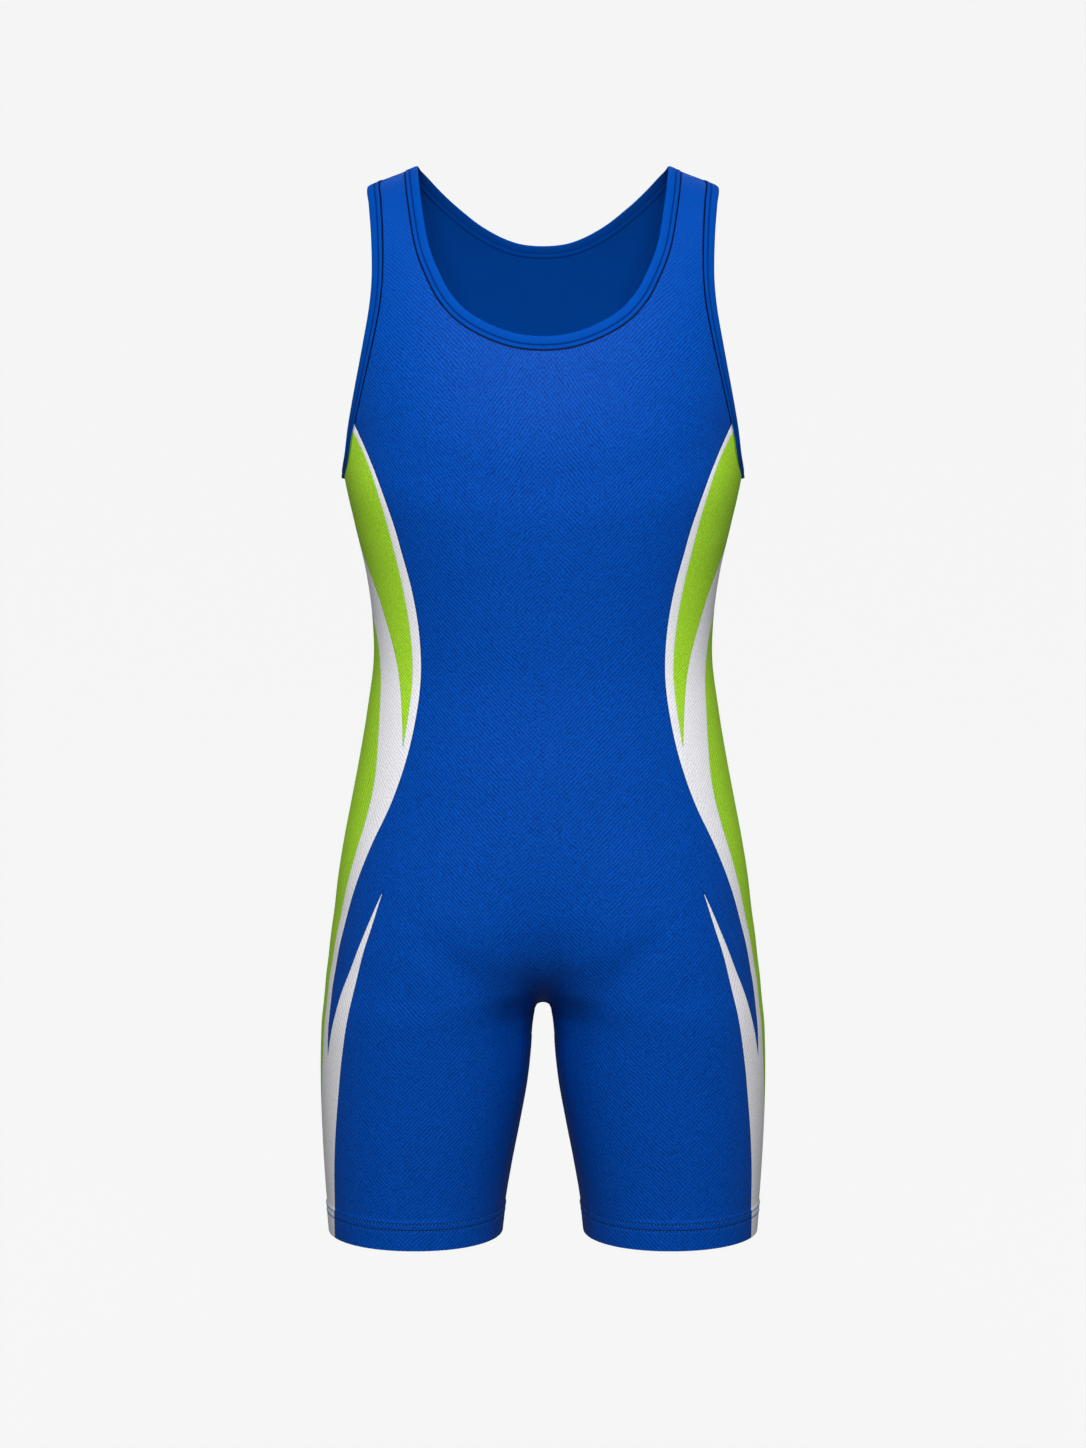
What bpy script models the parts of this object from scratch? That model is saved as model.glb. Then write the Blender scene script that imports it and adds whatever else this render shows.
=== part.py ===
"""Wrestling singlet: a stretch-knit one-piece garment, filled out and empty, front facing -Y.

Lengths are millimetres in the tables and become metres when a mesh is made.  Heights are measured
down from the top of the shoulder straps.  Angles run round the body from the centre front (0)
over the side (90) to the centre back (180); below the crotch they run round each leg's own centre.
"""

import math

import bmesh
import bpy
import numpy as np

MM = 0.001

# ---------------------------------------------------------------------------- cloth and trimming
CLOTH_WALL = 1.4
HEM_WALL = 2.6
HEM_TOP = -856.0
BINDING_WIDTH = 10.0
BINDING_WALL = 2.6
SEAM_GAP = 0.3
GUSSET_GAP = 0.45
BINDING_GAP = 0.5
BLUE = (0.004, 0.063, 0.447, 1.0)
BINDING_BLUE = (0.006, 0.078, 0.508, 1.0)
WHITE = (0.78, 0.79, 0.82, 1.0)
LIME = (0.279, 0.597, 0.012, 1.0)

# ---------------------------------------------------------------------------- body form
SHOULDER_SLOPE = 0.415
NECK_POINT_X = 100.0
YOKE = -250.0          # above this height the cloth curves over to the shoulder line
CROTCH_SEAM = -677.0
SEAM_INSET = 6.5       # from the inner edge of the leg to the inseam, as seen from the front
GUSSET_TURN = math.radians(23.0)

# height, half width, depth in front, depth behind, squareness, leg centre, width of the cleft
SECTIONS = (
    (0, 165, 112, 98, 2.35, 0, 60),
    (-60, 165, 113, 98, 2.35, 0, 60),
    (-150, 165, 114, 98, 2.35, 0, 60),
    (-200, 163, 115, 97, 2.35, 0, 60),
    (-254, 159, 114, 95, 2.35, 0, 60),
    (-290, 151, 110, 91, 2.3, 0, 60),
    (-330, 142, 105, 88, 2.25, 0, 60),
    (-370, 137, 101, 86, 2.2, 0, 60),
    (-400, 136.2, 99, 88, 2.2, 0, 60),
    (-440, 141, 100, 95, 2.2, 0, 60),
    (-480, 147.5, 103, 105, 2.2, 0, 60),
    (-520, 155, 105, 116, 2.2, 4, 60),
    (-550, 160.7, 106, 123, 2.2, 17, 50),
    (-580, 165.5, 106, 126, 2.15, 35, 42),
    (-610, 169, 105, 126, 2.1, 53.5, 34),
    (-630, 171.8, 103, 124, 2.1, 64, 28),
    (-650, 174, 100, 120, 2.1, 73.5, 20),
    (-664, 175.8, 98, 116, 2.1, 80.5, 14),
    (-677, 176.9, 97, 112, 2.1, 88.4, 7),
    (-686, 177.8, 96, 109, 2.1, 91.9, 7),
    (-701, 179.4, 94, 106, 2.1, 94.2, 7),
    (-720, 180.2, 92, 102, 2.1, 95.1, 7),
    (-750, 180.5, 89, 97, 2.1, 96.8, 7),
    (-784, 179.7, 86, 91, 2.1, 99.4, 7),
    (-820, 178, 82, 86, 2.1, 102, 7),
    (-850, 176, 79, 82, 2.1, 103.5, 7),
    (-876, 174, 77, 79, 2.1, 104, 7),
)

# ---------------------------------------------------------------------------- edges of the openings
# distance from the centre line, height
NECK_FRONT = ((0, -120), (18, -118.6), (34, -114.4), (50, -107.5), (63.6, -98.7), (75, -86), (83, -71.5),
              (89, -58), (92.7, -45.2), (96, -27), (98.5, -11))
NECK_BACK = ((97.6, -6), (92.5, -13), (83, -25.5), (73.3, -36.5), (63.6, -46), (53.9, -54.8), (44.1, -62),
             (32, -69), (18, -74.2), (0, -76))
ARMHOLE_FRONT = ((139.7, -28), (137.7, -50), (137, -79.7), (139, -103.6), (144, -133), (151, -172),
                 (156, -203), (158.6, -226))
ARMHOLE_BACK = ((157, -242.5), (147, -241.5), (133, -238.5), (119, -232.5), (106, -224), (94, -213.5),
                (83, -200), (75, -182), (69.5, -160), (71, -139), (76.5, -118), (84.5, -98), (91.5, -80),
                (98, -64), (105.5, -49.4), (113.4, -38), (123.3, -27), (133, -20))
ARMPIT = -242.5
NECK_TOP = (100, 0)
ARMHOLE_TOP = (141, -17)

# ---------------------------------------------------------------------------- colour blocking
# height, angle: blue to white, in front and behind alike
WHITE_EDGE = ((-199, 66.0), (-221, 57.9), (-239, 52.9), (-255, 50.0), (-271, 48.3), (-305, 46.5),
              (-338, 45.0), (-372, 44.1), (-397, 43.9), (-438, 44.7), (-471, 47.0), (-505, 50.9),
              (-540, 56.5), (-574, 61.3), (-609, 65.6), (-643, 68.3), (-677, 69.0), (-710, 68.0),
              (-726, 67.5))
# height, angle: white to upper lime, and upper lime to the white wedge
LIME_OUTER = ((-203, 69.9), (-222, 60.9), (-240, 55.6), (-256, 53.0), (-289, 51.0), (-323, 50.2),
              (-356, 49.2), (-398, 48.3), (-430, 48.5), (-462, 49.4))
LIME_INNER = ((-300, 90.0), (-315, 79.0), (-330, 73.1), (-345, 68.4), (-361, 64.9), (-376, 61.4),
              (-392, 58.3), (-408, 55.7), (-424, 53.4), (-440, 51.5), (-462, 49.4))
# height, angle: white to the lower lime spindle
SPINDLE = ((-360, 90.0), (-368, 80.5), (-381, 76.0), (-397, 73.2), (-412, 70.8), (-428, 68.9),
           (-460, 65.7), (-492, 63.5), (-526, 64.6), (-560, 67.6), (-594, 70.8), (-628, 73.7),
           (-663, 75.8), (-696, 75.8), (-712, 76.0), (-738, 78.2), (-764, 82.0), (-800, 90.0))
# height, angle of the inner edge, angle of the outer edge
SPIKE_FRONT = ((-577, 44.7, 44.7), (-604, 46.1, 48.4), (-639, 47.9, 53.1), (-674, 48.6, 59.4),
               (-705, 50.0, 64.3), (-726, 52.0, 67.5), (-756, 54.6, 67.5), (-791, 58.4, 67.5),
               (-816, 60.9, 67.5), (-846, 63.3, 67.5), (-876, 66.5, 67.5))
SPIKE_BACK = ((-607, 54.0, 54.0), (-642, 50.2, 51.8), (-674, 49.7, 57.0), (-705, 50.2, 63.2),
              (-726, 52.0, 67.5), (-756, 54.6, 67.5), (-791, 58.4, 67.5), (-816, 60.9, 67.5),
              (-846, 63.3, 67.5), (-876, 66.5, 67.5))
SPIKE_FRONT_TIP = -577.0
SPIKE_BACK_TIP = -607.0
WEDGE_TIP = -726.0
LIME_TIP = -462.0
WHITE_APEX = -300.0
SPINDLE_TOP = -360.0
SPINDLE_END = -800.0
BACK_CORNER_X = 124.5  # where the blue and white seam meets the back of the armhole
TOP_ROW = 2.0          # the last row of cloth before the shoulder line
TIP_BACK = 3.0         # how far a slender sewn point stops short of the notch it fits
BLUNT_BACK = 0.5       # the same for a wide point

# ---------------------------------------------------------------------------- rows of the mesh
LEVELS = (-876, -856, -852, -835, -818, -800, -781, -762, -744, -726, -712, -697, -682, -667, -652, -637,
          -622, -607, -592, -577, -558, -539, -520, -501, -481, -462, -442, -421, -400, -380, -360, -345,
          -330, -315, -300)
# height at the side, height at the centre line or inseam
LEVEL_INNER = ((-876, -876), (-800, -798), (-744, -736), (-726, -714), (-712, -699), (-697, -689),
               (-682, -682), (-667, -678.5), (-652, -677), (-637, -672), (-622, -664), (-607, -652),
               (-592, -638), (-577, -621), (-545, -578), (-513, -532), (-479, -484), (-462, -462))
INSEAM_X = ((-677, 0.0), (-678.5, 5.5), (-682, 9.0), (-689, 12.3), (-699, 15.0))
ARCH = ((-677, 0.0, -684.0), (-678.5, 3.6, -684.6), (-682, 6.0, -687.5), (-689, 7.6, -694.0),
        (-699, 8.9, -702.5), (-713, 10.0, -715.0))
SIDE_ROWS = 7          # rows between the white apex and the armhole
FRONT_NECK_ROW = 6     # of those, the row that starts at the bottom of the front neck
FRONT_ARM_ROWS = 12    # rows up the front armhole
BACK_ARM_ROWS = 18
BACK_NECK_ROW = 8      # of those, the row that starts at the bottom of the back neck
MAIN_COLUMNS = 8
WEDGE_COLUMNS = 2
LIME_COLUMNS = 4
BAND_COLUMNS = 2
SPINDLE_COLUMNS = 4
GUSSET_COLUMNS = 4


# ---------------------------------------------------------------------------- curves and the body
def smooth(table, height, column=1):
    """A column of a table at a height, on a smooth curve through its rows."""
    rows = np.asarray(table, float)[::-1]
    heights, values = rows[:, 0], rows[:, column]
    height = min(max(height, heights[0]), heights[-1])
    slopes = np.gradient(values, heights)
    k = int(min(max(np.searchsorted(heights, height) - 1, 0), len(heights) - 2))
    step = heights[k + 1] - heights[k]
    t = (height - heights[k]) / step
    return (
        (2 * t**3 - 3 * t**2 + 1) * values[k]
        + (t**3 - 2 * t**2 + t) * slopes[k] * step
        + (3 * t**2 - 2 * t**3) * values[k + 1]
        + (t**3 - t**2) * slopes[k + 1] * step
    )


def power(value, exponent):
    return math.copysign(abs(value) ** exponent, value)


def yoke_share(x, height):
    """How much of the body's depth is left on the way up to the shoulder line."""
    if height <= YOKE:
        return 1.0
    top = SHOULDER_SLOPE * (NECK_POINT_X - x)
    return math.sqrt(max(0.0, 1.0 - ((height - YOKE) / (top - YOKE)) ** 2))


def ring_depth(x, height, behind):
    """Distance of the cloth from the side plane, on the plain ring."""
    half, front, back, square, centre = (smooth(SECTIONS, height, k) for k in range(1, 6))
    share = min(1.0, abs(x - centre) / (half - centre))
    depth = back if behind else front
    return depth * (1.0 - share**square) ** (1.0 / square) * yoke_share(x, height)


def depth_at(x, height, behind):
    """The same, with the two legs' rings joined by a soft valley at the centre line."""
    cleft = smooth(SECTIONS, height, 6)
    if x >= cleft:
        return ring_depth(x, height, behind)
    edge = ring_depth(cleft, height, behind)
    slope = (ring_depth(cleft + 0.1, height, behind) - edge) / 0.1
    return edge + slope * (x * x - cleft * cleft) / (2.0 * cleft)


def angle_of(x, height):
    half, square, centre = (smooth(SECTIONS, height, k) for k in (1, 4, 5))
    share = min(1.0, max(-1.0, (x - centre) / (half - centre)))
    return math.degrees(math.asin(power(share, square / 2.0)))


def on_body(angle, height):
    half, square, centre = (smooth(SECTIONS, height, k) for k in (1, 4, 5))
    x = centre + (half - centre) * power(math.sin(math.radians(angle)), 2.0 / square)
    behind = angle > 90.0
    depth = depth_at(max(x, 0.0), height, behind)
    return np.array((x, depth if behind else -depth, height))


def beside(angle, height, distance):
    """The angle that lies a distance further round the body."""
    step = np.linalg.norm(on_body(angle + 0.2, height) - on_body(angle - 0.2, height)) / 0.4
    return angle + distance / max(step, 0.5)


def body_normal(point):
    """Outward direction of the body at a point, from how fast its form changes there."""

    def form(p):
        half, square, centre = (smooth(SECTIONS, p[2], k) for k in (1, 4, 5))
        depth = smooth(SECTIONS, p[2], 3 if p[1] > 0 else 2)
        share = min(1.0, abs(p[0] - centre) / (half - centre))
        flat = (depth * (1.0 - share**square) ** (1.0 / square)) ** 2
        if p[2] > YOKE:
            top = SHOULDER_SLOPE * (NECK_POINT_X - p[0])
            flat *= 1.0 - ((p[2] - YOKE) / (top - YOKE)) ** 2
        return p[1] ** 2 - flat

    step = 0.05
    inside = np.array(point, float) - (0.2, 0.0, 0.0)
    slope = [form(inside + step * axis) - form(inside - step * axis) for axis in np.eye(3)]
    return np.array(slope) / np.linalg.norm(slope)


# ---------------------------------------------------------------------------- edges and their seams
def through(points, closed, steps=16):
    """Many points on a smooth curve through a few."""
    points = np.asarray(points, float)
    count = len(points)
    if closed:
        before = np.roll(points, 1, axis=0)
        after = np.roll(points, -1, axis=0)
        after2 = np.roll(points, -2, axis=0)
    else:
        mirror = np.array((-1.0, 1.0, 1.0))
        before = np.vstack([points[1] * mirror, points[:-1]])
        after = np.vstack([points[1:], points[-2] * mirror])
        after2 = np.vstack([points[2:], points[-2] * mirror, points[-3] * mirror])
    curve = []
    for k in range(count if closed else count - 1):
        chord = np.linalg.norm(after[k] - points[k])
        lead = (after[k] - before[k]) / (np.linalg.norm(points[k] - before[k]) + chord) * chord
        trail = (after2[k] - points[k]) / (np.linalg.norm(after2[k] - after[k]) + chord) * chord
        for t in np.arange(steps) / steps:
            curve.append(
                (2 * t**3 - 3 * t**2 + 1) * points[k]
                + (t**3 - 2 * t**2 + t) * lead
                + (3 * t**2 - 2 * t**3) * after[k]
                + (t**3 - t**2) * trail
            )
    if not closed:
        curve.append(points[-1])
    return np.array(curve)


def edge_points(rows, behind):
    return [(x, (1 if behind else -1) * depth_at(x, z, behind), z) for x, z in rows]


def inset(edge, closed, inward, distance):
    """The edge moved over the cloth by a distance, to the side that inward names at its start."""
    if closed:
        along = np.roll(edge, -1, axis=0) - np.roll(edge, 1, axis=0)
    else:
        along = np.gradient(edge, axis=0)
        along[0] *= (1, 0, 0)
        along[-1] *= (1, 0, 0)
    across = np.array([np.cross(body_normal(p), t) for p, t in zip(edge, along)])
    if not closed:
        across[0] *= (0, 1, 1)
        across[-1] *= (0, 1, 1)
    across /= np.linalg.norm(across, axis=1)[:, None]
    if np.dot(across[0], inward) < 0:
        across = -across
    return edge + distance * across


def lengths(curve):
    return np.concatenate([[0.0], np.cumsum(np.linalg.norm(np.diff(curve, axis=0), axis=1))])


def sample(curve, starts, ends, count):
    """Evenly spaced places along a curve, as fractional indices."""
    along = lengths(curve)
    a, b = np.interp((starts, ends), np.arange(len(curve)), along)
    return np.interp(np.linspace(a, b, count + 1), along, np.arange(len(curve)))


def to_shoulder(curve, start, top, count):
    """Places along a curve to the shoulder line, the last but one just short of it."""
    back = TOP_ROW if start > top else -TOP_ROW
    return np.append(sample(curve, start, moved(top, curve, back), count - 1), top)


def moved(places, curve, distance):
    along = lengths(curve)
    index = np.arange(len(curve))
    return float(np.interp(np.interp(places, index, along) + distance, along, index))


def at(curve, places):
    index = np.arange(len(curve))
    return np.stack([np.interp(places, index, curve[:, k]) for k in range(3)], axis=-1)


neck_edge = through(
    edge_points(NECK_FRONT, False) + [(NECK_TOP[0], 0, NECK_TOP[1])] + edge_points(NECK_BACK, True), False
)
neck_seam = inset(neck_edge, False, (0, 0, -1), BINDING_WIDTH + BINDING_GAP / 2)
neck_fold = inset(neck_edge, False, (0, 0, -1), BINDING_WIDTH - BINDING_GAP / 2)
neck_top_place = 16.0 * len(NECK_FRONT)
neck_end_place = float(len(neck_seam) - 1)

armpit_point = (smooth(SECTIONS, ARMPIT, 1), 0.0, ARMPIT)
arm_edge = through(
    [(ARMHOLE_TOP[0], 0, ARMHOLE_TOP[1])]
    + edge_points(ARMHOLE_FRONT, False)
    + [armpit_point]
    + edge_points(ARMHOLE_BACK, True),
    True,
)
arm_seam = inset(arm_edge, True, (-1, 0, 0), BINDING_WIDTH + BINDING_GAP / 2)
arm_fold = inset(arm_edge, True, (-1, 0, 0), BINDING_WIDTH - BINDING_GAP / 2)
arm_edge, arm_seam, arm_fold = (np.vstack([c, c[:1]]) for c in (arm_edge, arm_seam, arm_fold))
armpit_place = 16.0 * (1 + len(ARMHOLE_FRONT))


def place_at_height(height):
    """Where the front armhole seam comes down to a height."""
    front = np.arange(0, int(armpit_place) + 1)
    return float(np.interp(-height, -arm_seam[front, 2], front))


front_corner = place_at_height(WHITE_EDGE[0][0])
front_lime = moved(front_corner, arm_seam, 7.0)
back_turn = np.arange(int(armpit_place), int(armpit_place) + 16 * 9)
back_corner = float(np.interp(-BACK_CORNER_X, -arm_seam[back_turn, 0], back_turn))
back_lime = moved(back_corner, arm_seam, -4.5)
closing_place = float(len(arm_seam) - 1)


# ---------------------------------------------------------------------------- where the pieces meet
def inner_edge_x(height):
    """The inner edge of the leg, seen from the front."""
    return 2.0 * smooth(SECTIONS, height, 5) - smooth(SECTIONS, height, 1)


def inseam_x(height):
    if height < INSEAM_X[-1][0]:
        return inner_edge_x(height) + SEAM_INSET
    return smooth(INSEAM_X, height)


def side_rows(behind):
    """Height and share of each row from the white apex up to the armhole, at the panel's corner."""
    rise = at(arm_seam, back_corner if behind else front_corner)[2] - WHITE_APEX
    shares = [k / SIDE_ROWS for k in range(1, SIDE_ROWS + 1)]
    return [(WHITE_APEX + rise * share, share) for share in shares]


def white_edge(height, share, behind):
    """Angle of the blue and white seam, brought to the panel's corner at the armhole."""
    angle = smooth(WHITE_EDGE, height)
    if share:
        corner = at(arm_seam, back_corner if behind else front_corner)
        angle += (angle_of(corner[0], corner[2]) - smooth(WHITE_EDGE, corner[2])) * share**2
    return angle


def body_point(angle, height, behind):
    return on_body(180.0 - angle if behind else angle, height)


def level_inner(row, behind):
    """Height at the centre line or inseam of a level row."""
    if LEVELS[row] <= LIME_TIP:
        return float(np.interp(LEVELS[row], *np.transpose(LEVEL_INNER)))
    return LIME_TIP + centre_step(behind) * (row - LEVELS.index(LIME_TIP))


def centre_step(behind):
    rows = len(LEVELS) - 1 - LEVELS.index(LIME_TIP)
    if behind:
        return (neck_seam[-1][2] - LIME_TIP) / (rows + SIDE_ROWS + BACK_NECK_ROW)
    return (neck_seam[0][2] - LIME_TIP) / (rows + FRONT_NECK_ROW)


def panel_rows(behind):
    """Each row of a half panel, from the inseam or centre line to the side, in two grids."""
    spike = SPIKE_BACK if behind else SPIKE_FRONT
    tip = SPIKE_BACK_TIP if behind else SPIKE_FRONT_TIP
    plain = MAIN_COLUMNS / (MAIN_COLUMNS + WEDGE_COLUMNS)
    main, wedge = [], []
    tip_share = plain
    for row, height in enumerate(LEVELS):
        low = level_inner(row, behind)
        if low < CROTCH_SEAM:
            start = beside(angle_of(inseam_x(low), low), low, GUSSET_GAP / 2)
        else:
            low += GUSSET_GAP / 2 * (low == CROTCH_SEAM)
            start = angle_of(0.0, low)
        end = beside(smooth(WHITE_EDGE, height), height, -SEAM_GAP / 2)
        if height <= tip:
            stop = smooth(spike, height, 1)
            tip_share = (stop - start) / (end - start)
            if height < tip:
                stop = beside(stop, height, -SEAM_GAP / 2)
            main.append([
                body_point(start + (stop - start) * t, low + (height - low) * t, behind)
                for t in np.linspace(0, 1, MAIN_COLUMNS + 1)
            ])
            if WEDGE_TIP <= height:
                point = beside(smooth(spike, height, 2), height, SEAM_GAP / 2)
                if height == tip:
                    point = stop
                level = height
                if height == WEDGE_TIP:
                    level = height + TIP_BACK
                    point = end = (smooth(spike, level, 2) + smooth(WHITE_EDGE, level)) / 2
                wedge.append([
                    body_point(point + (end - point) * t, level, behind)
                    for t in np.linspace(0, 1, WEDGE_COLUMNS + 1)
                ])
            continue
        fade = max(0.0, 1.0 - (height - tip) / 80.0)
        split = plain + (tip_share - plain) * fade
        shares = np.append(
            np.linspace(0, split, MAIN_COLUMNS + 1),
            np.linspace(split, 1, WEDGE_COLUMNS + 1)[1:],
        )
        points = [
            body_point(start + (end - start) * t, low + (height - low) * t, behind) for t in shares
        ]
        main.append(points[: MAIN_COLUMNS + 1])
        wedge.append(points[MAIN_COLUMNS:])
    shares = np.linspace(0, 1, MAIN_COLUMNS + WEDGE_COLUMNS + 1)
    for inner, outer, straight in upper_ends(behind):
        points = []
        angles = [angle_of(p[0], p[2]) for p in (inner, outer)]
        drift = [p[1] - (1 if behind else -1) * depth_at(p[0], p[2], behind) for p in (inner, outer)]
        strap = min(1.0, max(0.0, (inner[2] + outer[2] + 160.0) / 100.0))
        for t in shares:
            height = inner[2] + (outer[2] - inner[2]) * t
            x = inner[0] + (outer[0] - inner[0]) * t
            if straight < 1.0:
                turned = body_point(angles[0] + (angles[1] - angles[0]) * t, height, behind)[0]
                x = turned + (x - turned) * straight
            y = (1 if behind else -1) * depth_at(max(x, 0.0), height, behind)
            y += drift[0] + (drift[1] - drift[0]) * t
            y += (inner[1] + (outer[1] - inner[1]) * t - y) * strap
            points.append(np.array((x, y, height)))
        points[0], points[-1] = np.array(inner), np.array(outer)
        main.append(points[: MAIN_COLUMNS + 1])
        wedge.append(points[MAIN_COLUMNS:])
    for points in main:
        if abs(points[0][0]) < 0.01:
            points[0][0] = 0.0
    return main, wedge


def upper_ends(behind):
    """Ends of the rows above the white apex, and how straight each row runs."""
    step = centre_step(behind)
    base = len(LEVELS) - 1 - LEVELS.index(LIME_TIP)
    if behind:
        arm_rows, centre_rows = BACK_ARM_ROWS, SIDE_ROWS + BACK_NECK_ROW
        neck_bottom, arm_top = neck_end_place, closing_place
        corner = moved(back_corner, arm_seam, SEAM_GAP / 2)
    else:
        arm_rows, centre_rows = FRONT_ARM_ROWS, FRONT_NECK_ROW
        neck_bottom, arm_top = 0.0, 0.0
        corner = moved(front_corner, arm_seam, -SEAM_GAP / 2)
    neck_rows = SIDE_ROWS + arm_rows - centre_rows
    neck_places = to_shoulder(neck_seam, neck_bottom, neck_top_place, neck_rows)
    arm_places = to_shoulder(arm_seam, corner, arm_top, arm_rows)
    ends = []
    for row in range(1, SIDE_ROWS + arm_rows + 1):
        if row <= centre_rows:
            low = LIME_TIP + step * (base + row)
            inner = np.array((0.0, (1 if behind else -1) * depth_at(0.0, low, behind), low))
        if row >= centre_rows:
            inner = at(neck_seam, neck_places[row - centre_rows])
        if row < SIDE_ROWS:
            height, share = side_rows(behind)[row - 1]
            angle = beside(white_edge(height, share, behind), height, -SEAM_GAP / 2)
            outer = body_point(angle, height, behind)
        else:
            outer = at(arm_seam, arm_places[row - SIDE_ROWS])
        ends.append((inner, outer, min(1.0, row / SIDE_ROWS)))
    seam = (1 if behind else -1) * np.array((0.0, SEAM_GAP / 2, 0.0))
    ends[-1] = (ends[-1][0] + seam, ends[-1][1] + seam, 1.0)
    return ends


def gusset_rows():
    """Rows across the gusset, from the hem up the inner leg to the top of the crotch."""
    rows = []
    for row in range(len(LEVELS)):
        low = level_inner(row, False)
        if low > CROTCH_SEAM:
            break
        edge = low - GUSSET_GAP / 2 * (low == CROTCH_SEAM)
        seam = on_body(beside(angle_of(inseam_x(low), low), low, -GUSSET_GAP / 2), low)[0]
        seam = max(0.0, seam) * (low < CROTCH_SEAM)
        if low < ARCH[-1][0]:
            middle = (inner_edge_x(low), low)
        else:
            middle = (smooth(ARCH, low, 1) * (low < CROTCH_SEAM), smooth(ARCH, low, 2))
        depth = [depth_at(seam, edge, behind) for behind in (False, True)]
        across = []
        for share in np.linspace(-1, 1, GUSSET_COLUMNS + 1):
            turn = GUSSET_TURN * abs(share)
            rise = (1 - math.cos(turn)) / (1 - math.cos(GUSSET_TURN))
            reach = math.sin(turn) / math.sin(GUSSET_TURN)
            across.append(np.array((
                middle[0] + (seam - middle[0]) * rise,
                reach * (depth[1] if share > 0 else -depth[0]),
                middle[1] + (edge - middle[1]) * rise,
            )))
        rows.append(across)
    return rows


def side_grid(first, last, columns, rows, behind, tips=()):
    """A band between two angles that depend on the height, over some of the level rows."""
    grid = []
    for height in rows:
        a, b = first(height), last(height)
        level = height
        for tip, back in tips:
            if height == tip:
                level = height + back
                a = b = (first(level) + last(level)) / 2
        shares = np.linspace(0, 1, columns + 1)
        grid.append([body_point(a + (b - a) * t, level, behind) for t in shares])
    return grid


def levels_between(low, high):
    return [z for z in LEVELS if low <= z <= high]


def gap_from(table, column=1, side=1):
    return lambda z: beside(smooth(table, z, column), z, side * SEAM_GAP / 2)


def white_grids(behind):
    """The white side panel's bands on one half, front or back."""
    spike = SPIKE_BACK if behind else SPIKE_FRONT
    tip = SPIKE_BACK_TIP if behind else SPIKE_FRONT_TIP

    def blue_side(z):
        return smooth(WHITE_EDGE, z) if z <= WEDGE_TIP else gap_from(WHITE_EDGE)(z)

    def spindle_side(z):
        if SPINDLE_END < z < SPINDLE_TOP:
            return gap_from(SPINDLE, 1, -1)(z)
        return 90.0

    def shared(z):
        """Below the lime point the strip and the wedge run on as one band, split along this line."""
        share = 0.33 - 0.18 * max(0.0, 1.0 - (LIME_TIP - z) / 120.0)
        if z == LIME_TIP:
            return smooth(LIME_INNER, z)
        return blue_side(z) + (spindle_side(z) - blue_side(z)) * share

    def strip_end(z):
        return shared(z) if z <= LIME_TIP else gap_from(LIME_OUTER, 1, -1)(z)

    def wedge_start(z):
        return shared(z) if z <= LIME_TIP else gap_from(LIME_INNER)(z)

    lowest, wedge_top = LEVELS[0], WHITE_APEX
    strip = side_grid(blue_side, strip_end, 1, levels_between(lowest, wedge_top), behind)
    wedge = side_grid(
        wedge_start, spindle_side, BAND_COLUMNS, levels_between(lowest, wedge_top)[:-1], behind
    )
    wedge.append([body_point(90.0, wedge_top - BLUNT_BACK, behind)] * (BAND_COLUMNS + 1))
    thigh = side_grid(
        gap_from(spike, 1),
        lambda z: blue_side(z) if z <= WEDGE_TIP else gap_from(spike, 2, -1)(z),
        1,
        levels_between(lowest, tip),
        behind,
        ((tip, -TIP_BACK),),
    )
    inwards = -SEAM_GAP / 2 if behind else SEAM_GAP / 2
    corner = moved(back_corner if behind else front_corner, arm_seam, inwards)
    end = at(arm_seam, moved(back_lime if behind else front_lime, arm_seam, -inwards))
    for height, share in side_rows(behind):
        outer = WHITE_APEX + (end[2] - WHITE_APEX) * share
        first = beside(white_edge(height, share, behind), height, SEAM_GAP / 2)
        last = beside(lime_edge(outer, share, behind), outer, -SEAM_GAP / 2)
        strip.append([body_point(first, height, behind), body_point(last, outer, behind)])
    strip[-1] = [at(arm_seam, corner), end]
    return [strip, wedge, thigh]


def lime_edge(height, share, behind):
    """Angle of the white and lime seam, brought to its corner at the armhole."""
    corner = at(arm_seam, back_lime if behind else front_lime)
    return smooth(LIME_OUTER, height) + (
        angle_of(corner[0], corner[2]) - smooth(LIME_OUTER, corner[2])
    ) * share**2


def lime_grids(behind):
    """The upper lime insert on one half: a point below the white apex, the full side above it."""

    def inner(z):
        return 90.0 if z >= WHITE_APEX else gap_from(LIME_INNER, 1, -1)(z)

    rows = levels_between(LIME_TIP, WHITE_APEX)
    point = ((LIME_TIP, TIP_BACK),)
    grid = side_grid(gap_from(LIME_OUTER), inner, LIME_COLUMNS, rows, behind, point)
    inwards = -SEAM_GAP / 2 if behind else SEAM_GAP / 2
    start = moved(back_lime if behind else front_lime, arm_seam, inwards)
    top = [at(arm_seam, p) for p in sample(arm_seam, start, armpit_place, LIME_COLUMNS)]
    spread = np.array([angle_of(p[0], p[2]) for p in top])
    spread = (spread - spread[0]) / (spread[-1] - spread[0])
    for _, share in side_rows(behind):
        heights = [WHITE_APEX + (p[2] - WHITE_APEX) * share for p in top]
        first = beside(lime_edge(heights[0], share, behind), heights[0], SEAM_GAP / 2)
        mix = np.linspace(0, 1, LIME_COLUMNS + 1) * (1 - share) + spread * share
        grid.append([
            body_point(first + (90.0 - first) * t, z, behind) for t, z in zip(mix, heights)
        ])
    grid[-1] = top
    return [grid]


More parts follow.
